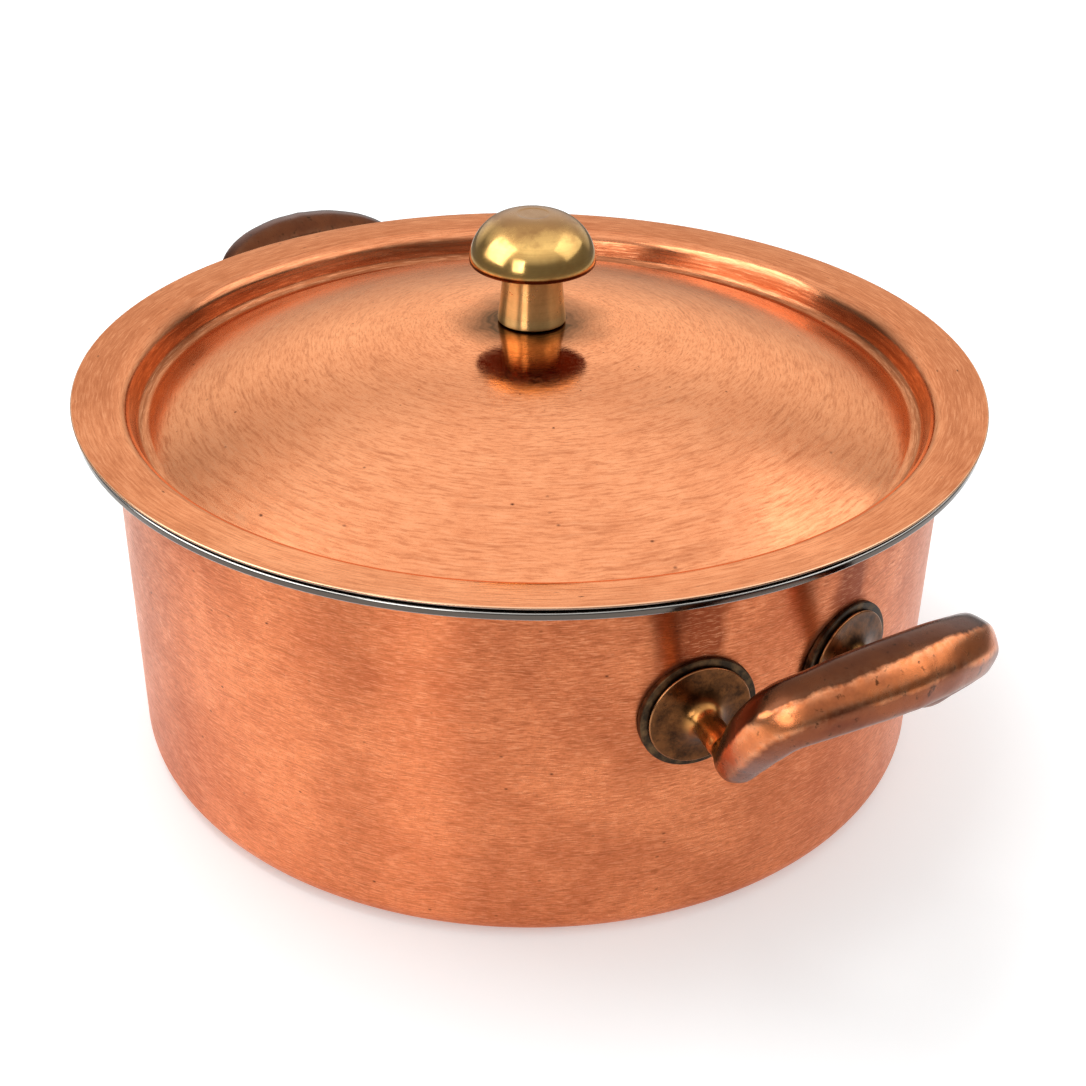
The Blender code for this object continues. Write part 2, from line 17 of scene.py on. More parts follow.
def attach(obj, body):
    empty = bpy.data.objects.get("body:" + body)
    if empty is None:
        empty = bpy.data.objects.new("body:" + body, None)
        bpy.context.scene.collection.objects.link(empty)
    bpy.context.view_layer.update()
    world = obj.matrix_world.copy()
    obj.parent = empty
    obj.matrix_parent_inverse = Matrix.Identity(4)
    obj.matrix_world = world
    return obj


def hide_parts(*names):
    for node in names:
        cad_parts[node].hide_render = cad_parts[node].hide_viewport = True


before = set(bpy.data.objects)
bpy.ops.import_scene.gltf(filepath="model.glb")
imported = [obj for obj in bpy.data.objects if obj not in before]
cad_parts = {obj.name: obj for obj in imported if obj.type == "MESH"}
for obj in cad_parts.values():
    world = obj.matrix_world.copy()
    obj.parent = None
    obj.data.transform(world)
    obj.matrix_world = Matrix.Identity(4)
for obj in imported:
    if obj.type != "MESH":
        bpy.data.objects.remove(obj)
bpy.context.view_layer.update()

log = logging.getLogger("casserole_pot")

Colour = tuple[float, float, float]
TURN_STEPS = 288
SMALL_TURN_STEPS = 128
SHARP_ANGLE = math.radians(38)


class Brushing(Enum):
    """How the marks of brushing lie beside each other: the weights of radius and height.

    The marks always run round the pot's axis. On a dish and on a dome the weights have the signs
    that keep the sum growing from the middle to the edge.
    """

    ON_FLAT = (1.0, 0.0)
    ON_WALL = (0.0, 1.0)
    ON_DISH = (1.0, 0.6)
    ON_DOME = (1.0, -0.6)


class Side(Enum):
    """The side of the pot that a handle is on, with its turn about the pot's axis."""

    RIGHT = 0.0
    LEFT = math.pi


def rounded_outline(corners: list[tuple[float, float, float]], arc_points: int = 10) -> np.ndarray:
    """Round the corners of an open outline by arcs that are tangent to both sides.

    An arc of radius f at a corner that opens by an angle 2h has its centre on the bisector, at
    f / sin h from the corner, and touches the sides at f / tan h from it.

    Args:
        corners: Points as (radius, height, fillet), with a fillet of zero for a sharp corner.
        arc_points: Number of points on each arc.

    Returns:
        Array of (radius, height) rows.
    """
    points = []
    for index, (radius, height, fillet) in enumerate(corners):
        corner = np.array([radius, height])
        if not fillet:
            points.append(corner[None])
            continue
        back = np.array(corners[index - 1][:2]) - corner
        ahead = np.array(corners[index + 1][:2]) - corner
        back /= np.linalg.norm(back)
        ahead /= np.linalg.norm(ahead)
        half = math.acos(float(np.clip(back @ ahead, -1.0, 1.0))) / 2
        centre = corner + (back + ahead) / np.linalg.norm(back + ahead) * fillet / math.sin(half)
        start = corner + back * fillet / math.tan(half) - centre
        end = corner + ahead * fillet / math.tan(half) - centre
        shares = np.linspace(0.0, 1.0, arc_points)[:, None]
        spokes = start * (1 - shares) + end * shares
        points.append(centre + spokes * fillet / np.linalg.norm(spokes, axis=1)[:, None])
    return np.vstack(points)


def parallel_outline(outline: np.ndarray, distance: float) -> np.ndarray:
    """Move an open outline sideways, each point along the mitre of its two runs.

    Args:
        outline: Rows of (radius, height).
        distance: How far to move it to the right of its direction.

    Returns:
        The moved rows.
    """
    along = np.diff(outline, axis=0)
    along /= np.linalg.norm(along, axis=1)[:, None]
    sides = np.stack([along[:, 1], -along[:, 0]], axis=1)
    before = np.vstack([sides[:1], sides])
    after = np.vstack([sides, sides[-1:]])
    mitre = before + after
    mitre /= np.sum(mitre * before, axis=1)[:, None]
    return outline + mitre * distance


def round_edge(start: np.ndarray, end: np.ndarray, bulge: float, points: int = 7) -> np.ndarray:
    """Half an ellipse from one point of a sheet's edge to the other, as a filed edge has.

    With m the middle, d half the way from end to start and o the outward direction, the points
    are m + d cos a + o bulge sin a, for a from 0 to pi.

    Args:
        start: First point of the edge.
        end: Last point of the edge.
        bulge: How far the edge stands out.
        points: Number of points.

    Returns:
        Rows of (radius, height).
    """
    middle = (start + end) / 2
    half = (start - end) / 2
    outward = np.array([-half[1], half[0]])
    outward *= np.sign(outward[0] or 1.0) / np.linalg.norm(outward)
    angles = np.linspace(0.0, math.pi, points)[:, None]
    return middle + half * np.cos(angles) + outward * bulge * np.sin(angles)


def turned_grid(outline: np.ndarray, steps: int = TURN_STEPS) -> np.ndarray:
    """Turn an outline about Z: x = r cos a, y = r sin a and z = h, for equal steps of a.

    Args:
        outline: Rows of (radius, height).
        steps: Number of steps in the full turn.

    Returns:
        Grid of points, one ring for each row.
    """
    angles = np.arange(steps) * math.tau / steps
    radius = outline[:, :1]
    height = np.broadcast_to(outline[:, 1:], (len(outline), steps))
    return np.stack([radius * np.cos(angles), radius * np.sin(angles), height], axis=-1)


def smooth_path(knots: np.ndarray, steps: int) -> np.ndarray:
    """Catmull-Rom curve, which passes each knot parallel to the line between its neighbours.

    Args:
        knots: Rows of any width.
        steps: Number of rows from one knot to the next.

    Returns:
        The rows along the curve.
    """
    padded = np.vstack([2 * knots[0] - knots[1], knots, 2 * knots[-1] - knots[-2]])
    before, start, end, after = (padded[shift:shift + len(knots) - 1, None] for shift in range(4))
    share = np.linspace(0.0, 1.0, steps, endpoint=False)[None, :, None]
    rows = start + share / 2 * (end - before + share * (
        2 * before - 5 * start + 4 * end - after + share * (3 * (start - end) + after - before)))
    return np.vstack([rows.reshape(-1, knots.shape[1]), knots[-1:]])


def unevenness(along: np.ndarray, around: np.ndarray, phase: float) -> np.ndarray:
    """Slow unevenness of a hand-dressed surface: the mean of sines along, around and across it.

    Args:
        along: Place along the piece, in radians of the slowest wave.
        around: Angle round the section.
        phase: Shift that makes two pieces differ.

    Returns:
        Values between -1 and 1.
    """
    waves = (
        np.sin(1.7 * along + 2 * around + phase),
        np.sin(3.1 * along - 3 * around + 2.3 * phase),
        np.sin(5.3 * along + around + 3.1 * phase),
        np.sin(7.9 * along - 2 * around + 4.7 * phase),
    )
    return sum(waves) / len(waves)


def grid_piece(name: str, grid: np.ndarray, looped: bool = False,
               marks: dict[str, np.ndarray] | None = None) -> bpy.types.Object:
    """Make a closed mesh object from rings of points, with its faces pointing outwards.

    Args:
        name: Name of the piece.
        grid: Points as (rings, points on a ring, 3).
        looped: Whether the last ring joins the first. If not, a fan closes each end.
        marks: Values for the grid's points, by the name of the attribute that holds them.

    Returns:
        The new object, at the origin.
    """
    rows, around = grid.shape[:2]
    index = np.arange(rows * around).reshape(rows, around)
    beside = np.roll(index, -1, axis=1)
    last = rows if looped else rows - 1
    ahead = np.roll(index, -1, axis=0)
    across = np.roll(beside, -1, axis=0)
    quads = np.stack([index, beside, across, ahead], axis=-1)[:last].reshape(-1, 4)
    points = grid.reshape(-1, 3)
    fans = np.empty((0, 3), int)
    if not looped:
        points = np.vstack([points, grid[0].mean(axis=0), grid[-1].mean(axis=0)])
        first_middle = np.full(around, rows * around)
        fans = np.vstack([
            np.stack([beside[0], index[0], first_middle], axis=-1),
            np.stack([index[-1], beside[-1], first_middle + 1], axis=-1),
        ])
    triangles = np.vstack([quads[:, :3], quads[:, (0, 2, 3)], fans])
    first, second, third = (points[triangles[:, column]] for column in range(3))
    if np.einsum("ij,ij->", first, np.cross(second, third)) < 0:
        quads = quads[:, ::-1]
        fans = fans[:, ::-1]
    mesh = bpy.data.meshes.new(name)
    mesh.from_pydata(points.tolist(), [], quads.tolist() + fans.tolist())
    for mark, values in (marks or {}).items():
        attribute = mesh.attributes.new(mark, "FLOAT", "POINT")
        spread = np.zeros(len(points), np.float32)
        spread[:rows * around] = np.broadcast_to(values, (rows, around)).reshape(-1)
        attribute.data.foreach_set("value", spread)
    mesh.shade_smooth()
    mesh.set_sharp_from_angle(angle=SHARP_ANGLE)
    piece = bpy.data.objects.new(name, mesh)
    bpy.context.scene.collection.objects.link(piece)
    return piece


def new_material(name: str) -> bpy.types.Material:
    """Make a material with one Principled shader."""
    material = bpy.data.materials.new(name)
    material.use_nodes = True
    return material


class Wiring:
    """Adds shader nodes to one material or world and joins them."""

    def __init__(self, owner: bpy.types.Material | bpy.types.World) -> None:
        """Take hold of the owner's node tree, and of its Principled shader if it has one."""
        self.owner = owner
        self.tree = owner.node_tree
        self.shader = self.tree.nodes.get("Principled BSDF")

    def put(self, socket: bpy.types.NodeSocket, value: object) -> None:
        """Join another node's socket to this one, or set its value."""
        if isinstance(value, bpy.types.NodeSocket):
            self.tree.links.new(value, socket)
        else:
            socket.default_value = value

    def node(self, kind: str, inputs: dict, **settings: object) -> bpy.types.Node:
        """Add one node.

        Args:
            kind: The node's type, without its ShaderNode prefix.
            inputs: Values or sockets, by the name or number of the input.
            settings: The node's own properties.

        Returns:
            The node.
        """
        made = self.tree.nodes.new(f"ShaderNode{kind}")
        for setting, value in settings.items():
            setattr(made, setting, value)
        for key, value in inputs.items():
            self.put(made.inputs[key], value)
        return made

    def maths(self, operation: str, first: object, second: object = 0.0) -> bpy.types.NodeSocket:
        """One sum of two numbers."""
        return self.node("Math", {0: first, 1: second}, operation=operation).outputs[0]

    def span(self, value: object, low: float, high: float, start: float = 0.0,
             end: float = 1.0) -> bpy.types.NodeSocket:
        """Map a value from one range to another, and hold it within that."""
        inputs = {"Value": value, "From Min": low, "From Max": high, "To Min": start, "To Max": end}
        return self.node("MapRange", inputs).outputs[0]

    def vector(self, operation: str, first: object, second: object = (0.0, 0.0, 0.0),
               output: str = "Vector") -> bpy.types.NodeSocket:
        """One vector sum."""
        return self.node("VectorMath", {0: first, 1: second}, operation=operation).outputs[output]

    def scaled(self, vector: object, factor: object) -> bpy.types.NodeSocket:
        """A vector times a number."""
        made = self.node("VectorMath", {0: vector, "Scale": factor}, operation="SCALE")
        return made.outputs[0]

    def noise(self, vector: object, scale: float, detail: float = 2.0,
              roughness: float = 0.5) -> bpy.types.NodeSocket:
        """Smooth noise, mostly between 0.3 and 0.7."""
        inputs = {"Vector": vector, "Scale": scale, "Detail": detail, "Roughness": roughness}
        return self.node("TexNoise", inputs).outputs[0]

    def blend(self, share: object, first: object, second: object) -> bpy.types.NodeSocket:
        """Mix two colours, each a socket or three numbers."""
        made = self.node("Mix", {0: share}, data_type="RGBA")
        for key, colour in ((6, first), (7, second)):
            value = colour if isinstance(colour, bpy.types.NodeSocket) else (*colour, 1.0)
            self.put(made.inputs[key], value)
        return made.outputs[2]

    def position(self) -> bpy.types.NodeSocket:
        """Where the surface is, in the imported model's frame."""
        return self.node("TexCoord", {}).outputs["Object"]

    def facing_up(self) -> bpy.types.NodeSocket:
        """How far the surface faces up, from -1 to 1."""
        normal = self.node("TexCoord", {}).outputs["Normal"]
        return self.node("SeparateXYZ", {0: normal}).outputs[2]

    def radius(self, place: bpy.types.NodeSocket) -> bpy.types.NodeSocket:
        """Distance of a place from the pot's axis."""
        flat = self.vector("MULTIPLY", place, (1.0, 1.0, 0.0))
        return self.vector("LENGTH", flat, output="Value")

    def attribute(self, name: str) -> bpy.types.NodeSocket:
        """A value that the mesh holds at its points."""
        return self.node("Attribute", {}, attribute_name=name).outputs["Fac"]

    def bump(self, height: object, depth: float, normal: object = None) -> bpy.types.NodeSocket:
        """Tilt the surface as a height between 0 and 1, times a depth, would."""
        inputs = {"Height": height, "Distance": depth, "Strength": 1.0}
        if normal is not None:
            inputs["Normal"] = normal
        return self.node("Bump", inputs).outputs[0]

    def along_brushing(self, brushing: Brushing, length: float, width: float, waver: float,
                       reach: float) -> bpy.types.NodeSocket:
        """Place on the surface in units of a mark, drawn out round the pot's axis.

        It is (L cos a, L sin a, s / width). Here a is the angle about the axis, s the weighted
        sum of radius and height, and L is reach / length, so there is no seam at any angle.

        Args:
            brushing: How the marks lie beside each other.
            length: Length of a mark at the reach.
            width: Width of a mark.
            waver: How far a mark wanders sideways.
            reach: Radius at which the length holds.

        Returns:
            The place, as a vector.
        """
        place = self.position()
        flat = self.vector("MULTIPLY", place, (1.0, 1.0, 0.0))
        by_radius, by_height = brushing.value
        height = self.node("SeparateXYZ", {0: place}).outputs[2]
        sideways = self.maths("ADD", self.maths("MULTIPLY", self.radius(place), by_radius),
                              self.maths("MULTIPLY", height, by_height))
        wander = self.maths("SUBTRACT", self.noise(place, 1 / (2.2 * length)), 0.5)
        sideways = self.maths("ADD", sideways, self.maths("MULTIPLY", wander, waver))
        ring = self.scaled(self.vector("NORMALIZE", flat), reach / length)
        parts = self.node("SeparateXYZ", {0: ring})
        inputs = {0: parts.outputs[0], 1: parts.outputs[1],
                  2: self.maths("MULTIPLY", sideways, 1 / width)}
        return self.node("CombineXYZ", inputs).outputs[0]

    def brush_marks(self, brushing: Brushing, length: float, width: float, waver: float,
                    reach: float) -> bpy.types.NodeSocket:
        """Noise drawn out round the pot's axis, as brushing leaves it."""
        place = self.along_brushing(brushing, length, width, waver, reach)
        return self.noise(place, 1.0, 3.0, 0.6)

    def metal(self, colour: object, rough: object, normal: object,
              anisotropy: float = 0.0) -> bpy.types.Material:
        """Finish the shader as bare metal.

        Args:
            colour: Its colour.
            rough: Its roughness.
            normal: Its tilted normal.
            anisotropy: How far highlights stretch square to the brushing round the pot's axis.

        Returns:
            The finished material.
        """
        values = {"Base Color": colour, "Roughness": rough, "Metallic": 1.0, "Normal": normal}
        if anisotropy:
            tangent = self.node("Tangent", {}, direction_type="RADIAL", axis="Z")
            values |= {"Anisotropic": anisotropy, "Anisotropic Rotation": 0.25,
                       "Tangent": tangent.outputs[0]}
        for name, value in values.items():
            self.put(self.shader.inputs[name], value)
        return self.owner


@dataclass(frozen=True)
class BrushedCopper:
    """Copper brushed round the pot's axis, with dull patches, scratches and small dark pits.

    A radius or height of zero leaves out the painted shade, painted reflection, polish or edge it
    places.
    """

    name: str
    brushing: Brushing
    bright: Colour
    dull: Colour
    deep: Colour = (0.40, 0.10, 0.035)
    pit: Colour = (0.10, 0.028, 0.014)
    shine: Colour = (1.0, 0.46, 0.24)
    roughness: float = 0.24
    anisotropy: float = 0.5
    reach: float = 0.100
    mark_length: float = 0.0030
    mark_width: float = 0.00030
    mark_waver: float = 0.0014
    mark_depth: float = 0.000012
    mark_share: float = 0.42
    shine_share: float = 0.32
    grain_size: float = 0.0007
    mottle_size: float = 0.0055
    patch_size: float = 0.034
    patch_share: float = 0.75
    pit_length: float = 0.0060
    pit_width: float = 0.0036
    knob_shade: Colour = (0.035, 0.012, 0.008)
    knob_shade_radius: float = 0.0
    knob_shade_pitch: float = 0.0019
    polish: float = 0.0
    polish_radius: float = 0.0
    bend_polish: float = 0.0
    edge_tint: Colour = (1.0, 1.0, 1.0)
    side_shade_radius: float = 0.0
    side_shade_turn: float = math.radians(148)
    mask_blur: float = 0.0025
    recess_shade: Colour = (0.27, 0.080, 0.030)
    groove_inner: float = 0.0
    groove_outer: float = 0.0
    edge_radius: float = 0.0
    edge_round: float = 0.0
    edge_wear_and_highlight: Colour = (0.94, 0.52, 0.31)
    edge_cut: Colour = (0.34, 0.24, 0.19)
    painted_seam_shade: Colour = (0.025, 0.014, 0.010)
    seam_width: float = 0.0020
    neck_reflection: Colour = (0.24, 0.040, 0.012)
    neck_reflection_height: float = 0.0
    neck_reflection_spacing: float = 0.0
    neck_reflection_reach: float = 0.0075
    grain_share: float = 0.4

    def material(self) -> bpy.types.Material:
        """Build the node tree of this finish."""
        wiring = Wiring(new_material(self.name))
        place = wiring.position()
        marks = wiring.brush_marks(self.brushing, self.mark_length, self.mark_width,
                                   self.mark_waver, self.reach)
        scuffs = wiring.brush_marks(self.brushing, self.mark_length * 5, self.mark_width * 3,
                                    self.mark_waver * 2, self.reach)
        patches = wiring.noise(place, 1 / self.patch_size, 4.0, 0.6)
        patch_share = wiring.span(patches, 0.38, 0.68, 0.0, self.patch_share)
        colour = wiring.blend(patch_share, self.bright, self.dull)
        mottle = wiring.noise(place, 1 / self.mottle_size, 4.0, 0.65)
        colour = wiring.blend(wiring.span(mottle, 0.45, 0.72, 0.0, 0.5), colour, self.dull)
        grain = wiring.noise(place, 1 / self.grain_size, 3.0, 0.7)
        grain_share = wiring.span(grain, 0.50, 0.75, 0.0, self.grain_share)
        colour = wiring.blend(grain_share, colour, self.deep)
        # Painted shade: the flange darker on its sides and back than at its front.
        if self.side_shade_radius:
            colour = wiring.blend(self._side_shade(wiring, place), colour, self.deep)
        # Painted reflection: dark streaks of the handles' necks on the wall above their discs.
        if self.neck_reflection_height:
            colour = wiring.blend(self._neck_reflections(wiring, place), colour, self.neck_reflection)
        # Painted shade: the lid's recess darkened.
        if self.groove_outer:
            colour = wiring.blend(self._recess_shade(wiring, place, scuffs), colour, self.recess_shade)
        scuff_share = wiring.span(scuffs, 0.52, 0.75, 0.0, self.mark_share)
        colour = wiring.blend(scuff_share, colour, self.deep)
        shine_share = wiring.span(marks, 0.34, 0.48, self.shine_share, 0.0)
        colour = wiring.blend(shine_share, colour, self.shine)
        mark_share = wiring.span(marks, 0.50, 0.66, 0.0, self.mark_share)
        colour = wiring.blend(mark_share, colour, self.deep)
        colour = wiring.blend(self._pits(wiring), colour, self.pit)
        # Painted shade and reflection: the lid darkened under and round the knob.
        if self.knob_shade_radius:
            colour = wiring.blend(self._knob_shade(wiring, place), colour, self.knob_shade)
        if self.edge_radius:
            colour = self._edge(wiring, place, colour)
        rough = wiring.maths("ADD", wiring.span(marks, 0.35, 0.70, -0.04, 0.07),
                             wiring.span(patches, 0.35, 0.65, self.roughness - 0.03,
                                         self.roughness + 0.04))
        if self.polish:
            radius = wiring.radius(place)
            inside = wiring.span(radius, self.polish_radius * 0.6, self.polish_radius * 1.6,
                                 self.polish - self.roughness, 0.0)
            bend = wiring.maths("MULTIPLY",
                                wiring.span(radius, self.groove_outer - self.mask_blur,
                                            self.groove_outer, 0.0, -self.bend_polish),
                                wiring.span(radius, self.groove_outer + self.mask_blur,
                                            self.groove_outer + 2 * self.mask_blur, 1.0, 0.0))
            rough = wiring.maths("ADD", wiring.maths("ADD", rough, inside), bend)
        wiring.put(wiring.shader.inputs["Specular Tint"], (*self.edge_tint, 1.0))
        normal = wiring.bump(marks, self.mark_depth)
        normal = wiring.bump(scuffs, self.mark_depth * 2, normal)
        return wiring.metal(colour, rough, normal, self.anisotropy)

    def _pits(self, wiring: Wiring) -> bpy.types.NodeSocket:
        """Share of dark pit: near a scattered point, for the cells that chance picks."""
        place = wiring.along_brushing(self.brushing, self.pit_length, self.pit_width, 0.0,
                                      self.reach)
        cells = wiring.node("TexVoronoi", {"Vector": place, "Scale": 1.0, "Randomness": 1.0})
        spot = wiring.span(cells.outputs["Distance"], 0.03, 0.11, 1.0, 0.0)
        red = wiring.node("SeparateColor", {0: cells.outputs["Color"]}).outputs[0]
        picked = wiring.span(red, 0.55, 0.95)
        return wiring.maths("MULTIPLY", spot, picked)

    def _recess_shade(self, wiring: Wiring, place: bpy.types.NodeSocket,
                scuffs: bpy.types.NodeSocket) -> bpy.types.NodeSocket:
        """Share of painted shade in the lid's recess, streaked along the brushing."""
        radius = wiring.radius(place)
        inner = wiring.span(radius, self.groove_inner, self.groove_inner + self.mask_blur)
        outer = wiring.span(radius, self.groove_outer - self.mask_blur / 2, self.groove_outer,
                            1.0, 0.0)
        share = wiring.maths("MULTIPLY", inner, outer)
        return wiring.maths("MULTIPLY", share, wiring.span(scuffs, 0.35, 0.60, 0.60, 0.95))

    def _neck_reflections(self, wiring: Wiring, place: bpy.types.NodeSocket) -> bpy.types.NodeSocket:
        """Share of the painted dark reflection of a handle's neck on the wall, above each backing disc.
        """
        parts = wiring.node("SeparateXYZ", {0: place})
        aside = wiring.maths("SUBTRACT", wiring.maths("ABSOLUTE", parts.outputs[1]),
                             self.neck_reflection_spacing / 2)
        uneven = wiring.span(wiring.noise(place, 120.0, 3.0), 0.3, 0.7, -0.0015, 0.0015)
        aside = wiring.maths("ADD", wiring.maths("ABSOLUTE", aside), uneven)
        beside = wiring.span(aside, self.neck_reflection_reach * 0.5, self.neck_reflection_reach, 0.85, 0.0)
        above = wiring.span(parts.outputs[2], self.neck_reflection_height,
                            self.neck_reflection_height + self.neck_reflection_reach)
        return wiring.maths("MULTIPLY", beside, above)

    def _edge(self, wiring: Wiring, place: bpy.types.NodeSocket,
              colour: bpy.types.NodeSocket) -> bpy.types.NodeSocket:
        """Edge colour: a pale top, worn and painted highlight, a dull cut, and painted shade beneath.
        """
        radius = wiring.radius(place)
        up = wiring.facing_up()
        edge = wiring.span(radius, self.edge_radius - self.edge_round,
                           self.edge_radius - self.edge_round * 0.75)
        # Wear and painted highlight: the edge's upward-facing top made pale.
        worn = wiring.maths("MULTIPLY", edge, wiring.span(up, 0.10, 0.45))
        cut = wiring.maths("MULTIPLY", edge, wiring.span(up, 0.10, 0.45, 1.0, 0.0))
        # Painted shade: the underside near the edge made dark, in the gap under the lid.
        outside = wiring.span(radius, self.edge_radius - 2 * self.seam_width,
                              self.edge_radius - self.seam_width)
        beneath = wiring.maths("MULTIPLY", outside, wiring.span(up, -0.70, -0.35, 1.0, 0.0))
        colour = wiring.blend(worn, colour, self.edge_wear_and_highlight)
        colour = wiring.blend(cut, colour, self.edge_cut)
        return wiring.blend(beneath, colour, self.painted_seam_shade)

    def _side_shade(self, wiring: Wiring, place: bpy.types.NodeSocket) -> bpy.types.NodeSocket:
        """Share of painted shade on the flange, darker on its sides and back than at its front."""
        outside = wiring.span(wiring.radius(place), self.side_shade_radius - self.mask_blur,
                              self.side_shade_radius + self.mask_blur)
        facing = (math.cos(self.side_shade_turn), math.sin(self.side_shade_turn), 0.0)
        flat = wiring.vector("MULTIPLY", place, (1.0, 1.0, 0.0))
        lean = wiring.vector("DOT_PRODUCT", wiring.vector("NORMALIZE", flat), facing, "Value")
        cloud = wiring.span(wiring.noise(place, 40.0, 3.0), 0.3, 0.7, -0.25, 0.25)
        side = wiring.span(wiring.maths("ADD", lean, cloud), -0.95, -0.15, 0.0, 0.62)
        return wiring.maths("MULTIPLY", outside, side)

    def _knob_shade(self, wiring: Wiring, place: bpy.types.NodeSocket) -> bpy.types.NodeSocket:
        """Share of painted shade and dark reflection round the knob's foot, in rings that fade."""
        uneven = wiring.span(wiring.noise(place, 90.0), 0.3, 0.7, -0.0025, 0.0025)
        radius = wiring.maths("ADD", wiring.radius(place), uneven)
        fade = wiring.span(radius, self.knob_shade_radius * 0.45, self.knob_shade_radius, 1.0, 0.0)
        rings = wiring.maths("SINE", wiring.maths("MULTIPLY", radius, math.tau / self.knob_shade_pitch))
        return wiring.maths("MULTIPLY", fade, wiring.span(rings, -1.0, 1.0, 0.90, 0.99))


@dataclass(frozen=True)
class SatinSteel:
    """Stainless steel with fine marks round the pot's axis, and painted shade outside a radius."""

    name: str
    brushing: Brushing
    colour: Colour = (0.58, 0.56, 0.53)
    shadow: Colour = (0.36, 0.34, 0.32)
    roughness: float = 0.15
    face: Colour = (0.115, 0.094, 0.080)
    painted_shade_radius: float = 0.0
    painted_shade_blur: float = 0.0001
    mark_length: float = 0.020
    mark_width: float = 0.0004
    mark_depth: float = 0.000002
    reach: float = 0.100
    anisotropy: float = 0.2

    def material(self) -> bpy.types.Material:
        """Build the node tree of this finish."""
        wiring = Wiring(new_material(self.name))
        marks = wiring.brush_marks(self.brushing, self.mark_length, self.mark_width,
                                   self.mark_width, self.reach)
        share = wiring.span(marks, 0.45, 0.75, 0.0, 0.6)
        colour = wiring.blend(share, self.colour, self.shadow)
        # Painted shade and dark reflection: the sheet's outer face made dark.
        if self.painted_shade_radius:
            radius = wiring.radius(wiring.position())
            outside = wiring.span(radius, self.painted_shade_radius, self.painted_shade_radius + self.painted_shade_blur)
            colour = wiring.blend(outside, colour, self.face)
        rough = wiring.span(marks, 0.3, 0.7, self.roughness - 0.04, self.roughness + 0.08)
        return wiring.metal(colour, rough, wiring.bump(marks, self.mark_depth), self.anisotropy)


@dataclass(frozen=True)
class TurnedBrass:
    """Lathe-turned brass: polished, fine rings, tarnish and a painted dark reflection on its crest."""

    name: str
    rings_by: Brushing
    colour: Colour = (0.90, 0.55, 0.18)
    tarnish: Colour = (0.54, 0.28, 0.08)
    crest: Colour = (0.30, 0.145, 0.055)
    shade: Colour = (0.10, 0.032, 0.010)
    crest_height: float = 0.0
    under_height: float = 0.0
    ring_pitch: float = 0.00045
    ring_depth: float = 0.000003
    roughness: float = 0.10
    anisotropy: float = 0.0

    def material(self) -> bpy.types.Material:
        """Build the node tree of this finish."""
        wiring = Wiring(new_material(self.name))
        place = wiring.position()
        rings = wiring.brush_marks(self.rings_by, 0.040, self.ring_pitch, 0.0001, 0.010)
        cloud = wiring.noise(place, 190.0, 4.0, 0.6)
        height = wiring.node("SeparateXYZ", {0: place}).outputs[2]
        share = wiring.span(cloud, 0.42, 0.72, 0.0, 0.55)
        colour = wiring.blend(share, self.colour, self.tarnish)
        colour = wiring.blend(wiring.span(rings, 0.50, 0.80, 0.0, 0.35), colour, self.tarnish)
        rough = wiring.span(cloud, 0.35, 0.70, self.roughness, self.roughness + 0.12)
        if self.crest_height:
            # Tarnish and painted dark reflection on the cap's top.
            worn = wiring.maths("ADD", height, wiring.span(cloud, 0.3, 0.7, -0.0009, 0.0009))
            top = wiring.span(worn, self.crest_height - 0.0052, self.crest_height - 0.0012)
            colour = wiring.blend(wiring.maths("MULTIPLY", top, 0.85), colour, self.crest)
            rough = wiring.maths("ADD", rough, wiring.maths("MULTIPLY", top, 0.16))
            lip = wiring.span(height, self.under_height, self.under_height + self.ring_pitch,
                              1.0, 0.0)
            beneath = wiring.span(wiring.facing_up(), -0.5, -0.2, 1.0, 0.0)
            colour = wiring.blend(wiring.maths("MAXIMUM", lip, beneath), colour, self.shade)
        return wiring.metal(colour, rough, wiring.bump(rings, self.ring_depth), self.anisotropy)


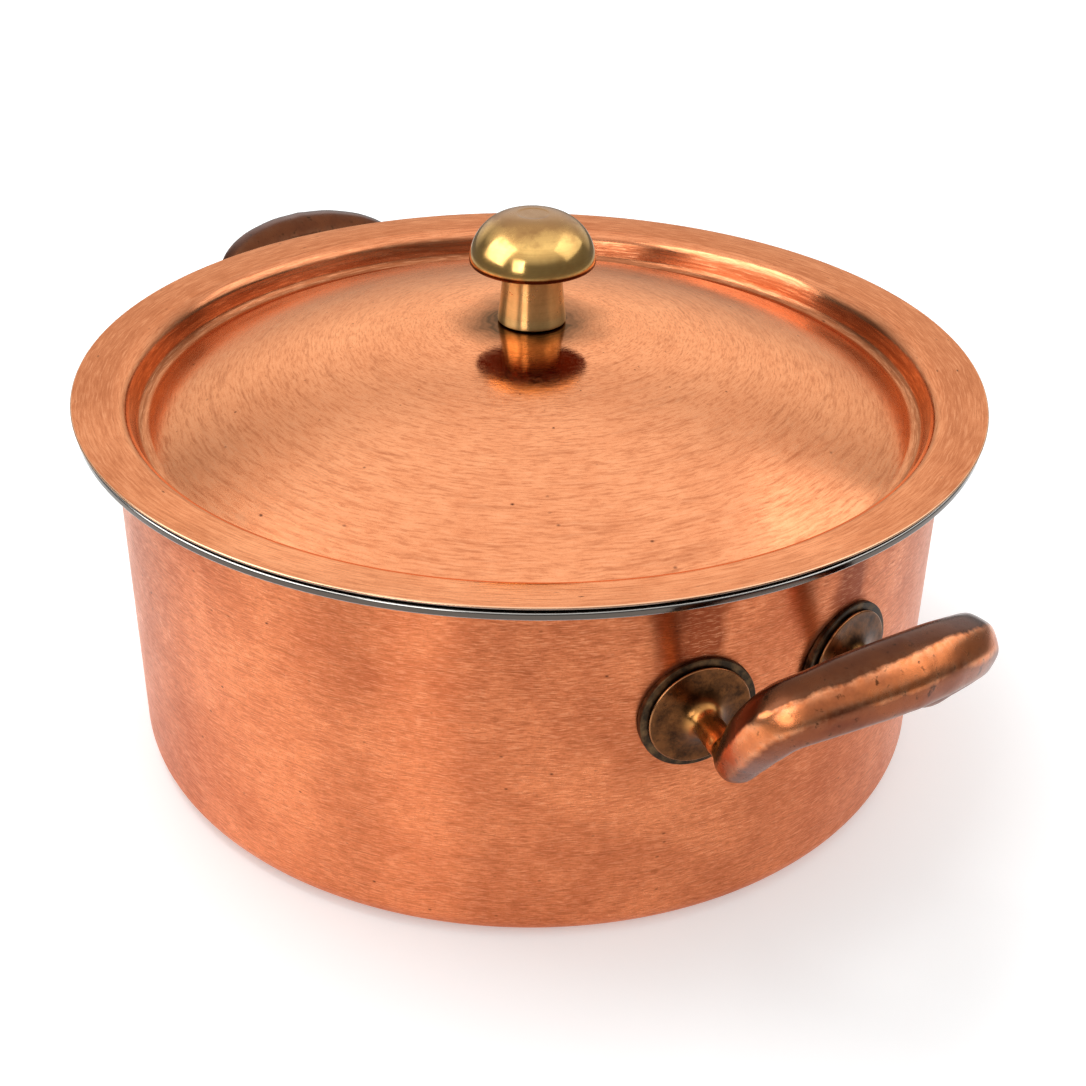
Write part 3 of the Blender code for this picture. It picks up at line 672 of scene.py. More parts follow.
@dataclass(frozen=True)
class CastBronze:
    """Cast bronze with a red-brown patina on the grip and an olive one on the feet.

    The grip attribute is 0 on the feet and 1 on the grip. The ridge attribute is 1 along the ridges
    between the facets, where hands have worn the patina off. The top_shade attribute is the cosine of
    the angle from the top of the grip, where painted shade and dark reflection lie, and the under
    attribute that from its underside, where painted shade lies. The elbow attribute is 1 where the grip
    turns into the neck, and marks painted shade there. The neck_highlight attribute marks a painted
    golden highlight where the feet sweep into the neck, and the rim attribute the feet's rims, worn
    and painted with a highlight.
    """

    name: str
    foot: Colour = (0.14, 0.052, 0.017)
    foot_dark: Colour = (0.034, 0.014, 0.006)
    foot_rim_wear_and_highlight: Colour = (0.62, 0.27, 0.11)
    neck_highlight: Colour = (0.62, 0.28, 0.08)
    grip: Colour = (0.80, 0.245, 0.085)
    grip_dark: Colour = (0.34, 0.095, 0.042)
    grip_top_shade: Colour = (0.060, 0.021, 0.011)
    grip_underside_shade: Colour = (0.12, 0.031, 0.016)
    worn: Colour = (0.90, 0.42, 0.22)
    top_shade_edge: float = 0.383
    underside_shade_edge: float = 0.46
    grain_depth: float = 0.00003
    dent_depth: float = 0.00010
    roughness: float = 0.26

    def material(self) -> bpy.types.Material:
        """Build the node tree of this finish."""
        wiring = Wiring(new_material(self.name))
        place = wiring.position()
        cloud = wiring.noise(place, 70.0, 5.0, 0.62)
        grain = wiring.noise(place, 420.0, 4.0, 0.65)
        foot_share = wiring.span(wiring.noise(place, 260.0, 5.0, 0.7), 0.36, 0.66)
        foot = wiring.blend(foot_share, self.foot, self.foot_dark)
        grip = wiring.blend(wiring.span(cloud, 0.44, 0.72), self.grip, self.grip_dark)
        ridge = wiring.maths("MULTIPLY", wiring.attribute("ridge"), wiring.span(grain, 0.35, 0.65))
        grip = wiring.blend(wiring.maths("MULTIPLY", ridge, 0.8), grip, self.worn)
        ragged = wiring.span(cloud, 0.30, 0.70, -0.14, 0.14)
        # Painted shade on the grip's underside.
        under = wiring.span(wiring.maths("ADD", wiring.attribute("under"), ragged),
                            self.underside_shade_edge - 0.10, self.underside_shade_edge + 0.10, 0.0, 0.80)
        grip = wiring.blend(under, grip, self.grip_underside_shade)
        # Painted shade in the elbow, where the grip turns into the neck.
        grip = wiring.blend(wiring.maths("MULTIPLY", wiring.attribute("elbow"), 0.6), grip,
                            self.grip_underside_shade)
        # Painted shade and dark reflection on the grip's top.
        top_shade = wiring.span(wiring.maths("ADD", wiring.attribute("top_shade"), ragged),
                           self.top_shade_edge - 0.05, self.top_shade_edge + 0.05, 0.0, 0.90)
        grip = wiring.blend(top_shade, grip, self.grip_top_shade)
        # Wear and painted highlight: the foot's rim made bright.
        foot = wiring.blend(wiring.attribute("rim"), foot, self.foot_rim_wear_and_highlight)
        colour = wiring.blend(wiring.attribute("grip"), foot, grip)
        # Painted highlight: a golden ring where each foot sweeps into its neck.
        colour = wiring.blend(wiring.attribute("neck_highlight"), colour, self.neck_highlight)
        speck = wiring.span(grain, 0.60, 0.70, 0.0, 0.75)
        colour = wiring.blend(speck, colour, self.foot_dark)
        rough = wiring.span(cloud, 0.3, 0.7, self.roughness - 0.06, self.roughness + 0.10)
        normal = wiring.bump(grain, self.grain_depth)
        normal = wiring.bump(wiring.noise(place, 150.0, 2.0), self.dent_depth, normal)
        return wiring.metal(colour, rough, normal)


@dataclass(frozen=True)
class OxidisedBronze:
    """Bronze gone nearly black, with a brown bloom."""

    name: str
    dark: Colour = (0.030, 0.020, 0.013)
    bloom: Colour = (0.15, 0.085, 0.04)
    grain_depth: float = 0.00004
    roughness: float = 0.36

    def material(self) -> bpy.types.Material:
        """Build the node tree of this finish."""
        wiring = Wiring(new_material(self.name))
        cloud = wiring.noise(wiring.position(), 210.0, 5.0, 0.65)
        colour = wiring.blend(wiring.span(cloud, 0.45, 0.70), self.dark, self.bloom)
        rough = wiring.span(cloud, 0.3, 0.7, self.roughness, self.roughness + 0.12)
        return wiring.metal(colour, rough, wiring.bump(cloud, self.grain_depth))


def install(piece: bpy.types.Object, finish: bpy.types.Material, body: str, slot: str,
            *nodes: str) -> None:
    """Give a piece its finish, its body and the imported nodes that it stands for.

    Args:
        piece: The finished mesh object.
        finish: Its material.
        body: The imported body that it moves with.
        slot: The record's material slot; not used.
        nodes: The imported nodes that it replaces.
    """
    piece.data.materials.append(finish)
    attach(piece, body)
    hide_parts(*nodes)
    log.info("%s: %d faces on %s", piece.name, len(piece.data.polygons), body)


@dataclass
class Pot:
    """The straight-sided copper pot with its steel lining, which is rolled round the flange."""

    inner_radius: float = 0.1200
    rim_height: float = 0.11135
    wall: float = 0.0020
    base: float = 0.0020
    corner: float = 0.0070
    lining: float = 0.0005
    sheet_gap: float = 0.0003
    mouth_bend: float = 0.0025
    under_bend: float = 0.0016
    flange: float = 0.0008
    flange_width: float = 0.0129
    flange_slope: float = 0.08
    wrap: float = 0.0004
    wrap_width: float = 0.0018
    roll_flat: float = 0.0005
    hub: float = 0.0020

    @property
    def wall_radius(self) -> float:
        """Radius of the wall's outer face."""
        return self.inner_radius + self.lining + self.sheet_gap + self.wall

    @property
    def rim_radius(self) -> float:
        """Radius of the flange's edge."""
        return self.inner_radius + self.flange_width

    def flange_top(self, radius: float, drop: float = 0.0) -> float:
        """Height of the dished flange, less a drop."""
        return self.rim_height + (radius - self.rim_radius) * self.flange_slope - drop

    def body_outline(self) -> np.ndarray:
        """Half section of the copper, from the middle of its floor round to that of its base."""
        drop = self.lining + self.sheet_gap
        inside = self.inner_radius + drop
        edge = self.rim_radius - self.wrap - self.sheet_gap
        under = drop + self.flange
        return rounded_outline([
            (self.hub, self.base, 0.0),
            (inside, self.base, self.corner - self.wall),
            (inside, self.flange_top(inside, drop), self.mouth_bend - drop),
            (edge, self.flange_top(edge, drop), 0.0),
            (edge, self.flange_top(edge, under), 0.0),
            (self.wall_radius, self.flange_top(self.wall_radius, under), self.under_bend),
            (self.wall_radius, 0.0, self.corner),
            (self.hub, 0.0, 0.0),
        ], arc_points=14)

    def lining_outline(self) -> np.ndarray:
        """Half section of the lining, from the middle of its floor over the rim and back."""
        outer = self.inner_radius + self.lining
        floor = self.base + self.sheet_gap
        wrap_top = self.lining + self.sheet_gap + self.flange + self.sheet_gap
        wrap_foot = wrap_top + self.wrap
        wrap_inner = self.rim_radius - self.wrap_width
        edge = self.rim_radius - self.wrap
        inner_corner = self.corner - self.wall - self.sheet_gap
        roll = wrap_foot / 2 - self.roll_flat
        return rounded_outline([
            (self.hub, floor + self.lining, 0.0),
            (self.inner_radius, floor + self.lining, inner_corner - self.lining),
            (self.inner_radius, self.flange_top(self.inner_radius), self.mouth_bend),
            (self.rim_radius, self.flange_top(self.rim_radius), roll),
            (self.rim_radius, self.flange_top(self.rim_radius, wrap_foot), roll),
            (wrap_inner, self.flange_top(wrap_inner, wrap_foot), 0.0),
            (wrap_inner, self.flange_top(wrap_inner, wrap_top), 0.0),
            (edge, self.flange_top(edge, wrap_top), 0.0),
            (edge, self.flange_top(edge, self.lining), 0.0),
            (outer, self.flange_top(outer, self.lining), self.mouth_bend - self.lining),
            (outer, floor, inner_corner),
            (self.hub, floor, 0.0),
        ], arc_points=12)

    def build(self) -> None:
        """Build and dress the copper and the lining."""
        # Painted shade: the wall's copper is a deeper copy of the lid's, for the dimmer light on the
        # wall.
        copper = BrushedCopper("wall_copper", Brushing.ON_WALL, (0.86, 0.275, 0.112),
                               (0.58, 0.145, 0.055), reach=self.wall_radius, roughness=0.315,
                               anisotropy=0.98, neck_reflection_height=Handle.height,
                               neck_reflection_spacing=Handle.spacing)
        steel = SatinSteel("lining_steel", Brushing.ON_WALL, painted_shade_blur=0.00006,
                           painted_shade_radius=self.rim_radius - self.wrap / 5)
        body = grid_piece("pot_body_fine", turned_grid(self.body_outline()))
        install(body, copper.material(), "pot", "pot_copper", "pot_body")
        lining = grid_piece("pot_lining_fine", turned_grid(self.lining_outline()))
        install(lining, steel.material(), "pot", "lining_steel", "pot_lining")


@dataclass
class Lid:
    """The domed lid: a copper sheet lined with steel, with a recess inside its dished flange."""

    pot: Pot
    overhang: float = 0.0006
    copper: float = 0.0008
    lining: float = 0.00045
    seat_gap: float = 0.0003
    rise: float = 0.0143
    depth: float = 0.0118
    land_radius: float = 0.0120
    mouth_clearance: float = 0.0013
    recess_run: float = 0.0034
    bend: float = 0.0052
    crease: float = 0.0030
    hole: float = 0.0028
    dome_rings: int = 44
    dome_share: float = 0.95
    edge_bulge: float = 0.0004
    lining_gap: float = 0.00008
    lining_edge: float = 0.00036
    lining_setback: float = 0.0016

    @property
    def radius(self) -> float:
        """Radius of the lid's edge."""
        return self.pot.rim_radius + self.overhang

    @property
    def recess(self) -> float:
        """Radius at which the recess meets the flange."""
        return self.pot.inner_radius - self.mouth_clearance

    @property
    def edge_height(self) -> float:
        """Height of the top face at the lid's edge."""
        stack = self.seat_gap + self.lining + self.pot.sheet_gap + self.copper
        return self.pot.flange_top(self.radius) + stack

    def top_outline(self) -> np.ndarray:
        """Top face from the screw's hole to the edge.

        Outside the land under the knob it falls as rise - (rise + depth) s squared, where s goes
        from 0 at the land to 1 at the recess, and then climbs the recess to the flange.
        """
        panel = self.recess - self.recess_run
        slope = self.pot.flange_slope
        share = np.linspace(0.0, self.dome_share, self.dome_rings)
        radius = self.land_radius + (panel - self.land_radius) * share
        height = self.rise - (self.rise + self.depth) * share ** 2
        dome = [(self.hole, self.rise, 0.0)]
        dome += [(*point, 0.0) for point in zip(radius, height)]
        outline = rounded_outline([
            *dome,
            (panel, -self.depth, self.crease),
            (self.recess, (self.recess - self.radius) * slope, self.bend),
            (self.radius - self.edge_bulge, -self.edge_bulge * slope, 0.0),
        ], arc_points=16)
        return outline + (0.0, self.edge_height)

    def sheet(self, drop: float, thickness: float, setback: float = 0.0) -> np.ndarray:
        """Closed section of one sheet, between two parallels to the top face.

        Args:
            drop: Depth of the sheet's upper face below the lid's top face.
            thickness: Thickness of the sheet.
            setback: How far its edge lies inside the lid's edge.

        Returns:
            Rows of (radius, height).
        """
        outline = self.top_outline()
        outline[-1] -= (setback, setback * self.pot.flange_slope)
        top = parallel_outline(outline, drop)
        under = parallel_outline(outline, drop + thickness)
        edge = round_edge(top[-1], under[-1], self.edge_bulge)
        return np.vstack([top[:-1], edge, under[-2::-1]])

    def build(self) -> None:
        """Build and dress both sheets."""
        # Painted light: the lid's copper is a lighter, paler copy of the wall's, for the brighter light
        # on it.
        copper = BrushedCopper("lid_copper", Brushing.ON_DISH, (0.96, 0.385, 0.180),
                               (0.80, 0.275, 0.118), roughness=0.22, anisotropy=0.45,
                               reach=0.080, mark_length=0.0045, mark_width=0.00042,
                               patch_share=0.55, grain_share=0.25, knob_shade_radius=0.026,
                               polish=0.09, polish_radius=0.040, bend_polish=0.08,
                               edge_tint=(1.0, 0.82, 0.66),
                               side_shade_radius=self.pot.inner_radius,
                               groove_inner=self.recess - self.recess_run - self.crease,
                               groove_outer=self.recess, edge_radius=self.radius,
                               edge_round=self.edge_bulge)
        steel = SatinSteel("lid_steel", Brushing.ON_DISH, face=(0.030, 0.024, 0.020),
                           painted_shade_radius=self.radius - self.lining_setback - self.edge_bulge)
        shell = grid_piece("lid_shell_fine", turned_grid(self.sheet(0.0, self.copper)), True)
        install(shell, copper.material(), "lid", "lid_copper", "lid_shell")
        lining_drop = self.copper + self.lining_gap
        lining_outline = self.sheet(lining_drop, self.lining_edge, self.lining_setback)
        lining = grid_piece("lid_lining_fine", turned_grid(lining_outline), True)
        install(lining, steel.material(), "lid", "lining_steel", "lid_lining")


@dataclass
class Knob:
    """The turned brass knob: a mushroom cap on a stem that widens to its foot."""

    lid: Lid
    cap_radius: float = 0.0183
    cap_rise: float = 0.0126
    lip: float = 0.0019
    lip_round: float = 0.0006
    crest: float = 0.0045
    hollow: float = 0.0012
    stem_height: float = 0.0178
    stem_top: float = 0.0084
    stem_foot: float = 0.0100
    collar: float = 0.0030
    spigot_radius: float = 0.0045
    spigot_length: float = 0.0060
    bevel: float = 0.0005
    bore: float = 0.0028
    bore_depth: float = 0.0113
    fit_gap: float = 0.0003
    dimple_radius: float = 0.0046
    dimple_depth: float = 0.00012
    ring_depth: float = 0.00002

    @property
    def foot_height(self) -> float:
        """Height of the stem's foot, just clear of the lid's land."""
        return self.lid.edge_height + self.lid.rise + self.fit_gap

    def cap_outline(self) -> np.ndarray:
        """Half section of the cap.

        Its dome is an ellipse quarter round a flat crest, with a shallow round dimple in the
        middle, and its lip a circle quarter.
        """
        under = self.foot_height + self.stem_height
        lip_height = under + self.lip_round
        top = under + self.lip + self.cap_rise
        inside = np.linspace(0.0004, self.crest, 18, endpoint=False)
        step = 1 / (1 + np.exp((inside - self.dimple_radius) / (0.02 * self.cap_radius)))
        crest = np.stack([inside, top - self.dimple_depth * step], axis=1)
        angles = np.linspace(0.0, math.pi / 2, 40)
        dome = np.stack([self.crest + (self.cap_radius - self.crest) * np.sin(angles),
                         lip_height + (top - lip_height) * np.cos(angles)], axis=1)
        turns = angles[6::6]
        lip = np.stack([self.cap_radius - self.lip_round * (1 - np.cos(turns)),
                        lip_height - self.lip_round * np.sin(turns)], axis=1)
        socket = self.spigot_radius + self.fit_gap
        seat = under + self.fit_gap
        beneath = np.array([
            (self.cap_radius - self.lip, under + self.hollow / 2),
            (self.cap_radius - 2 * self.lip, under + self.hollow),
            (self.stem_top + self.lip, under + self.hollow),
            (self.stem_top, seat),
            (socket, seat),
            (socket, seat + self.spigot_length),
            (self.fit_gap, seat + self.spigot_length),
        ])
        return np.vstack([crest, dome, lip, beneath])

    def stem_outline(self) -> np.ndarray:
        """Half section of the stem, whose waist widens as 0.75 s + 0.25 s squared towards its foot.

        A shallow ring is cut where the collar starts.
        """
        foot = self.foot_height
        top = foot + self.stem_height
        tip = top + self.spigot_length
        lowest = foot + 2 * self.bevel
        share = np.linspace(0.0, 1.0, 60)
        height = top - self.bevel + (lowest - top + self.bevel) * share
        flare = (self.stem_foot - self.stem_top) * (0.75 * share + 0.25 * share ** 2)
        ring = self.ring_depth * np.exp(-((height - foot - self.collar) / self.bevel) ** 2)
        waist = np.stack([self.stem_top + flare - ring, height], axis=1)
        head = np.array([
            (self.fit_gap, tip),
            (self.spigot_radius - self.bevel, tip),
            (self.spigot_radius, tip - self.bevel),
            (self.spigot_radius, top),
            (self.stem_top - self.bevel, top),
        ])
        base = rounded_outline([
            (self.stem_foot, lowest, 0.0),
            (self.stem_foot, foot, self.bevel),
            (self.bore, foot, 0.0),
            (self.bore, foot + self.bore_depth, 0.0),
            (self.fit_gap, foot + self.bore_depth, 0.0),
        ])
        return np.vstack([head, waist, base])

    def build(self) -> None:
        """Build the cap and the stem, and dress the washer and the screw beneath the lid."""
        cap_outline = self.cap_outline()
        cap_brass = TurnedBrass("cap_brass", Brushing.ON_DOME,
                                crest_height=float(cap_outline[:, 1].max()),
                                under_height=self.foot_height + self.stem_height
                                + self.lip_round + self.bevel)
        stem_brass = TurnedBrass("stem_brass", Brushing.ON_WALL, (0.95, 0.63, 0.26),
                                 ring_depth=0.000008, roughness=0.27, anisotropy=0.9)
        cap = grid_piece("knob_cap_fine", turned_grid(cap_outline, SMALL_TURN_STEPS))
        install(cap, cap_brass.material(), "lid", "knob_brass", "knob_cap")
        stem = grid_piece("knob_stem_fine", turned_grid(self.stem_outline(), SMALL_TURN_STEPS))
        install(stem, stem_brass.material(), "lid", "knob_brass", "knob_stem")
        steel = SatinSteel("fastener_steel", Brushing.ON_FLAT).material()
        for name in ("knob_washer", "knob_screw"):
            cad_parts[name].data.materials.clear()
            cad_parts[name].data.materials.append(steel)
            log.info("%s keeps its packed shape", name)


GRIP_PATH_SHARES = (
    (0.11, 0.955, 0.06, 0.26),
    (0.31, 0.968, 0.32, 0.54),
    (0.52, 0.970, 0.585, 0.72),
    (0.70, 0.895, 0.79, 0.80),
    (0.86, 0.690, 0.91, 0.86),
    (0.96, 0.350, 0.98, 0.96),
    (1.00, 0.000, 1.00, 1.00),
)
NECK_PATH_SHARES = (0.62, 0.82)


@dataclass
class Handle:
    """One cast loop handle with its backing discs and the rivets that hold it."""

    side: Side
    pot: Pot
    bronze: bpy.types.Material
    dark_bronze: bpy.types.Material
    steel: bpy.types.Material
    height: float = 0.0712
    spacing: float = 0.0480
    foot_radius: float = 0.0140
    foot_thickness: float = 0.0009
    foot_round: float = 0.00042
    trumpet_height: float = 0.0085
    trumpet_power: float = 2.6
    neck_radius: float = 0.0038
    neck_reach: float = 0.0212
    grip_radius: float = 0.0093
    grip_reach: float = 0.0410
    grip_rise: float = 0.0291
    half_span: float = 0.0310
    backing_radius: float = 0.0160
    backing_thickness: float = 0.0012
    backing_round: float = 0.0003
    shank: float = 0.0022
    head_radius: float = 0.0048
    head_height: float = 0.0020
    head_edge: float = 0.0004
    tongue: float = 0.0035
    fit_gap: float = 0.0003
    around: int = 120
    facets: int = 8
    facet_sharpness: float = 15.0
    facet_depth: float = 0.85
    facet_turn: float = math.radians(-15)
    top_shade_turn: float = math.radians(-15)
    underside_shade_turn: float = math.radians(-190)
    uneven_share: float = 0.016
    path_steps: int = 12
    name: str = field(init=False)

    def __post_init__(self) -> None:
        """Name the handle for its side."""
        self.name = self.side.name.lower()

    @property
    def standoff(self) -> float:
        """Distance from the wall to the back of a foot."""
        return self.backing_thickness + self.fit_gap

    def foot_axes(self, sign: int, turn: float) -> tuple[np.ndarray, np.ndarray, np.ndarray]:
        """Origin on the wall, outward and sideways directions of a foot.

        Args:
            sign: -1 for the foot at the front and 1 for the one at the back.
            turn: Angle of the handle about the pot's axis.

        Returns:
            The three vectors.
        """
        angle = turn + sign * math.asin(self.spacing / 2 / self.pot.wall_radius)
        outward = np.array([math.cos(angle), math.sin(angle), 0.0])
        sideways = np.array([-math.sin(angle), math.cos(angle), 0.0])
        origin = outward * self.pot.wall_radius + (0.0, 0.0, self.height)
        return origin, outward, sideways

    def foot_rows(self) -> np.ndarray:
        """Distance from the wall and radius along a foot, from its bore out to its neck.

        The disc has a rounded rim. Its face sweeps into the neck along a quarter of a superellipse:
        inward as sin t to the power 2 / p, and outward as 1 less cos t to that power.
        """
        bore = self.shank + self.fit_gap
        back = self.standoff
        face = back + self.foot_thickness
        round_radius = self.foot_round
        angles = np.linspace(-math.pi / 2, math.pi / 2, 15)
        middle = (back + face) / 2
        rim = np.stack([middle + np.sin(angles) * self.foot_thickness / 2,
                        self.foot_radius - round_radius * (1 - np.cos(angles))], axis=1)
        inner = np.array([
            (back + self.tongue, self.fit_gap),
            (back + self.tongue, bore),
            (back, bore),
            (back, (bore + self.foot_radius) / 2),
        ])
        turn = np.linspace(0.04, 1.0, 44) * math.pi / 2
        start = self.foot_radius - round_radius
        inward = np.sin(turn) ** (2 / self.trumpet_power)
        outward = 1 - np.cos(turn) ** (2 / self.trumpet_power)
        sweep = np.stack([face + (self.trumpet_height - face) * outward,
                          start - (start - self.neck_radius) * inward], axis=1)
        return np.vstack([inner, rim, sweep])

    def half_path(self) -> tuple[np.ndarray, np.ndarray, np.ndarray, np.ndarray]:
        """Centres, tangents, radii and grip shares from the back foot to the middle of the grip."""
        origin, outward, _ = self.foot_axes(1, 0.0)
        foot = self.foot_rows()
        centres = origin + outward * foot[:, :1]
        neck_end = origin + outward * self.neck_reach
        knots = [(*(origin + outward * self.trumpet_height), self.neck_radius, 0.0)]
        for share in NECK_PATH_SHARES:
            knots.append((*(origin + outward * self.neck_reach * share), self.neck_radius, 0.0))
        reach = self.pot.wall_radius + self.grip_reach - neck_end[0]
        swelling = self.grip_radius - self.neck_radius
        for reach_share, span_share, rise_share, swell_share in GRIP_PATH_SHARES:
            knots.append((neck_end[0] + reach * reach_share, self.half_span * span_share,
                          self.height + self.grip_rise * rise_share,
                          self.neck_radius + swelling * swell_share, swell_share))
        path = smooth_path(np.array(knots), self.path_steps)[1:]
        tangents = np.gradient(np.vstack([centres[-1:], path[:, :3]]), axis=0)[1:]
        tangents[-1] = (0.0, -1.0, 0.0)
        tangents = np.vstack([np.broadcast_to(outward, centres.shape), tangents])
        tangents /= np.linalg.norm(tangents, axis=1)[:, None]
        return (np.vstack([centres, path[:, :3]]), tangents, np.hstack([foot[:, 1], path[:, 3]]),
                np.hstack([np.zeros(len(foot)), path[:, 4]]))

    def grip_grid(self) -> tuple[np.ndarray, dict[str, np.ndarray]]:
        """Rings of the whole handle at +X, with the values that its finish reads.

        The section is a polygon with rounded corners, whose radius at an angle a is
        (sum over facets of cos(a - facet) to the power p) to the power -1 / p. It is blended with
        a circle towards the neck, and carried along the path on axes square to it.
        """
        centres, tangents, radii, grips = self.half_path()
        tilt = math.atan2(self.grip_rise, self.grip_reach - self.neck_reach)
        plane = np.array([-math.sin(tilt), 0.0, math.cos(tilt)])
        upward = plane - tangents * (tangents @ plane)[:, None]
        upward /= np.linalg.norm(upward, axis=1)[:, None]
        sideways = np.cross(tangents, upward)
        mirror = np.array([1.0, -1.0, 1.0])
        centres = np.vstack([centres, centres[-2::-1] * mirror])
        upward = np.vstack([upward, upward[-2::-1] * mirror])
        sideways = np.vstack([sideways, sideways[-2::-1] * mirror])
        radii = np.hstack([radii, radii[-2::-1]])[:, None]
        grips = np.hstack([grips, grips[-2::-1]])[:, None]
        angles = np.arange(self.around) * math.tau / self.around
        facet = np.arange(self.facets)[:, None] * math.tau / self.facets + self.facet_turn
        lean = np.clip(np.cos(angles - facet), 0.0, 1.0) ** self.facet_sharpness
        polygon = np.sum(lean, axis=0) ** (-1 / self.facet_sharpness)
        polygon /= polygon.max()
        ridge = (polygon - polygon.min()) / (1 - polygon.min())
        strength = np.clip(grips * 2.2, 0.0, 1.0) * self.facet_depth
        section = 1 - strength * (1 - polygon)
        steps = np.linalg.norm(np.diff(centres, axis=0, prepend=centres[:1]), axis=1)
        along = (np.cumsum(steps) / self.half_span * 2.6)[:, None]
        dents = unevenness(along, angles, 1.0 + self.side.value)
        section = section * (1 - self.uneven_share * strength * (1 - dents) / 2)
        spread = np.cos(angles)[:, None] * upward[:, None] + np.sin(angles)[:, None] * sideways[:, None]
        grid = centres[:, None] + spread * (radii * section)[..., None]
        # Painted highlight round each neck, read by the finish.
        neck_highlight = np.exp(-((radii - self.neck_radius) / (0.35 * self.neck_radius)) ** 2) * (1 - grips)
        # Worn rim of each foot, also a painted highlight.
        rim = 0.7 * np.exp(-((radii - self.foot_radius) / (0.6 * self.foot_round)) ** 2)
        # Masks for painted shade: the grip's top, its underside and its elbow.
        top_shade = np.cos(angles - self.top_shade_turn)
        under = np.cos(angles - self.underside_shade_turn)
        elbow = np.exp(-((grips - 0.40) / 0.22) ** 2)
        marks = {"grip": np.clip(grips * 3.0, 0.0, 1.0), "ridge": ridge * strength, "neck_highlight": neck_highlight,
                 "rim": rim, "top_shade": top_shade, "under": under, "elbow": elbow}
        return grid, marks

    def turned(self, grid: np.ndarray) -> np.ndarray:
        """A grid turned about the pot's axis to this handle's side."""
        cosine = math.cos(self.side.value)
        sine = math.sin(self.side.value)
        x = grid[..., 0] * cosine - grid[..., 1] * sine
        y = grid[..., 0] * sine + grid[..., 1] * cosine
        return np.stack([x, y, grid[..., 2]], axis=-1)

    def disc_grid(self, sign: int) -> np.ndarray:
        """Rings of a backing disc: flat in front, and behind it the round wall with a gap.

        A point of its back at sideways distance s lies at root(R squared - s squared) from the
        pot's axis, where R is the wall's radius and the gap.

        Args:
            sign: Which foot the disc is under.

        Returns:
            The grid of points.
        """
        origin, outward, sideways = self.foot_axes(sign, self.side.value)
        angles = np.arange(self.around) * math.tau / self.around
        bore = self.shank + self.fit_gap
        turns = np.linspace(0.0, math.pi / 2, 7)
        edge_radius = self.backing_radius - self.backing_round * (1 - np.sin(turns))
        edge_reach = self.backing_thickness - self.backing_round * (1 - np.cos(turns))
        radius = np.hstack([bore, edge_radius])[:, None]
        reach = np.broadcast_to(np.hstack([self.backing_thickness, edge_reach])[:, None],
                                (len(radius), self.around))
        back_radius = np.linspace(self.backing_radius, bore, 8)[:, None]
        seat = self.pot.wall_radius + self.fit_gap
        back = np.sqrt(seat ** 2 - (back_radius * np.cos(angles)) ** 2) - self.pot.wall_radius
        radius = np.vstack([radius, back_radius])
        reach = np.vstack([reach, back])
        across = (radius * np.cos(angles))[..., None] * sideways
        rise = (radius * np.sin(angles))[..., None] * np.array([0.0, 0.0, 1.0])
        return origin + across + rise + reach[..., None] * outward

    def rivet_grid(self, sign: int) -> np.ndarray:
        """Rings of a rivet: its tip in the foot, its shank, and its round head inside the pot."""
        origin, outward, sideways = self.foot_axes(sign, self.side.value)
        face = self.pot.inner_radius - self.pot.wall_radius - 2 * self.fit_gap
        tip = self.standoff + self.tongue - self.fit_gap
        angles = np.linspace(0.0, math.pi / 2, 14, endpoint=False)
        dome = self.head_height - self.head_edge
        head = np.stack([self.head_radius * np.cos(angles),
                         face - self.head_edge - dome * np.sin(angles)], axis=1)
        outline = np.vstack([
            (self.fit_gap, tip),
            (self.shank - self.head_edge, tip),
            (self.shank, tip - self.head_edge),
            (self.shank, face),
            (self.head_radius, face),
            head,
        ])
        grid = turned_grid(outline, SMALL_TURN_STEPS // 2)
        across = grid[..., :1] * sideways + grid[..., 1:2] * np.array([0.0, 0.0, 1.0])
        return origin + across + grid[..., 2:] * outward

    def build(self) -> None:
        """Build and dress the handle, its discs and its rivets."""
        grid, marks = self.grip_grid()
        handle = grid_piece(f"handle_{self.name}_fine", self.turned(grid), marks=marks)
        install(handle, self.bronze, "pot", "handle_bronze", f"handle_{self.name}")
        for sign, place in ((-1, "front"), (1, "back")):
            disc_name = f"backing_disc_{self.name}_{place}"
            disc = grid_piece(f"{disc_name}_fine", self.disc_grid(sign), True)
            install(disc, self.dark_bronze, "pot", "backing_bronze", disc_name)
            rivet_name = f"rivet_{self.name}_{place}"
            rivet = grid_piece(f"{rivet_name}_fine", self.rivet_grid(sign))
            install(rivet, self.steel, "pot", "rivet_steel", rivet_name)


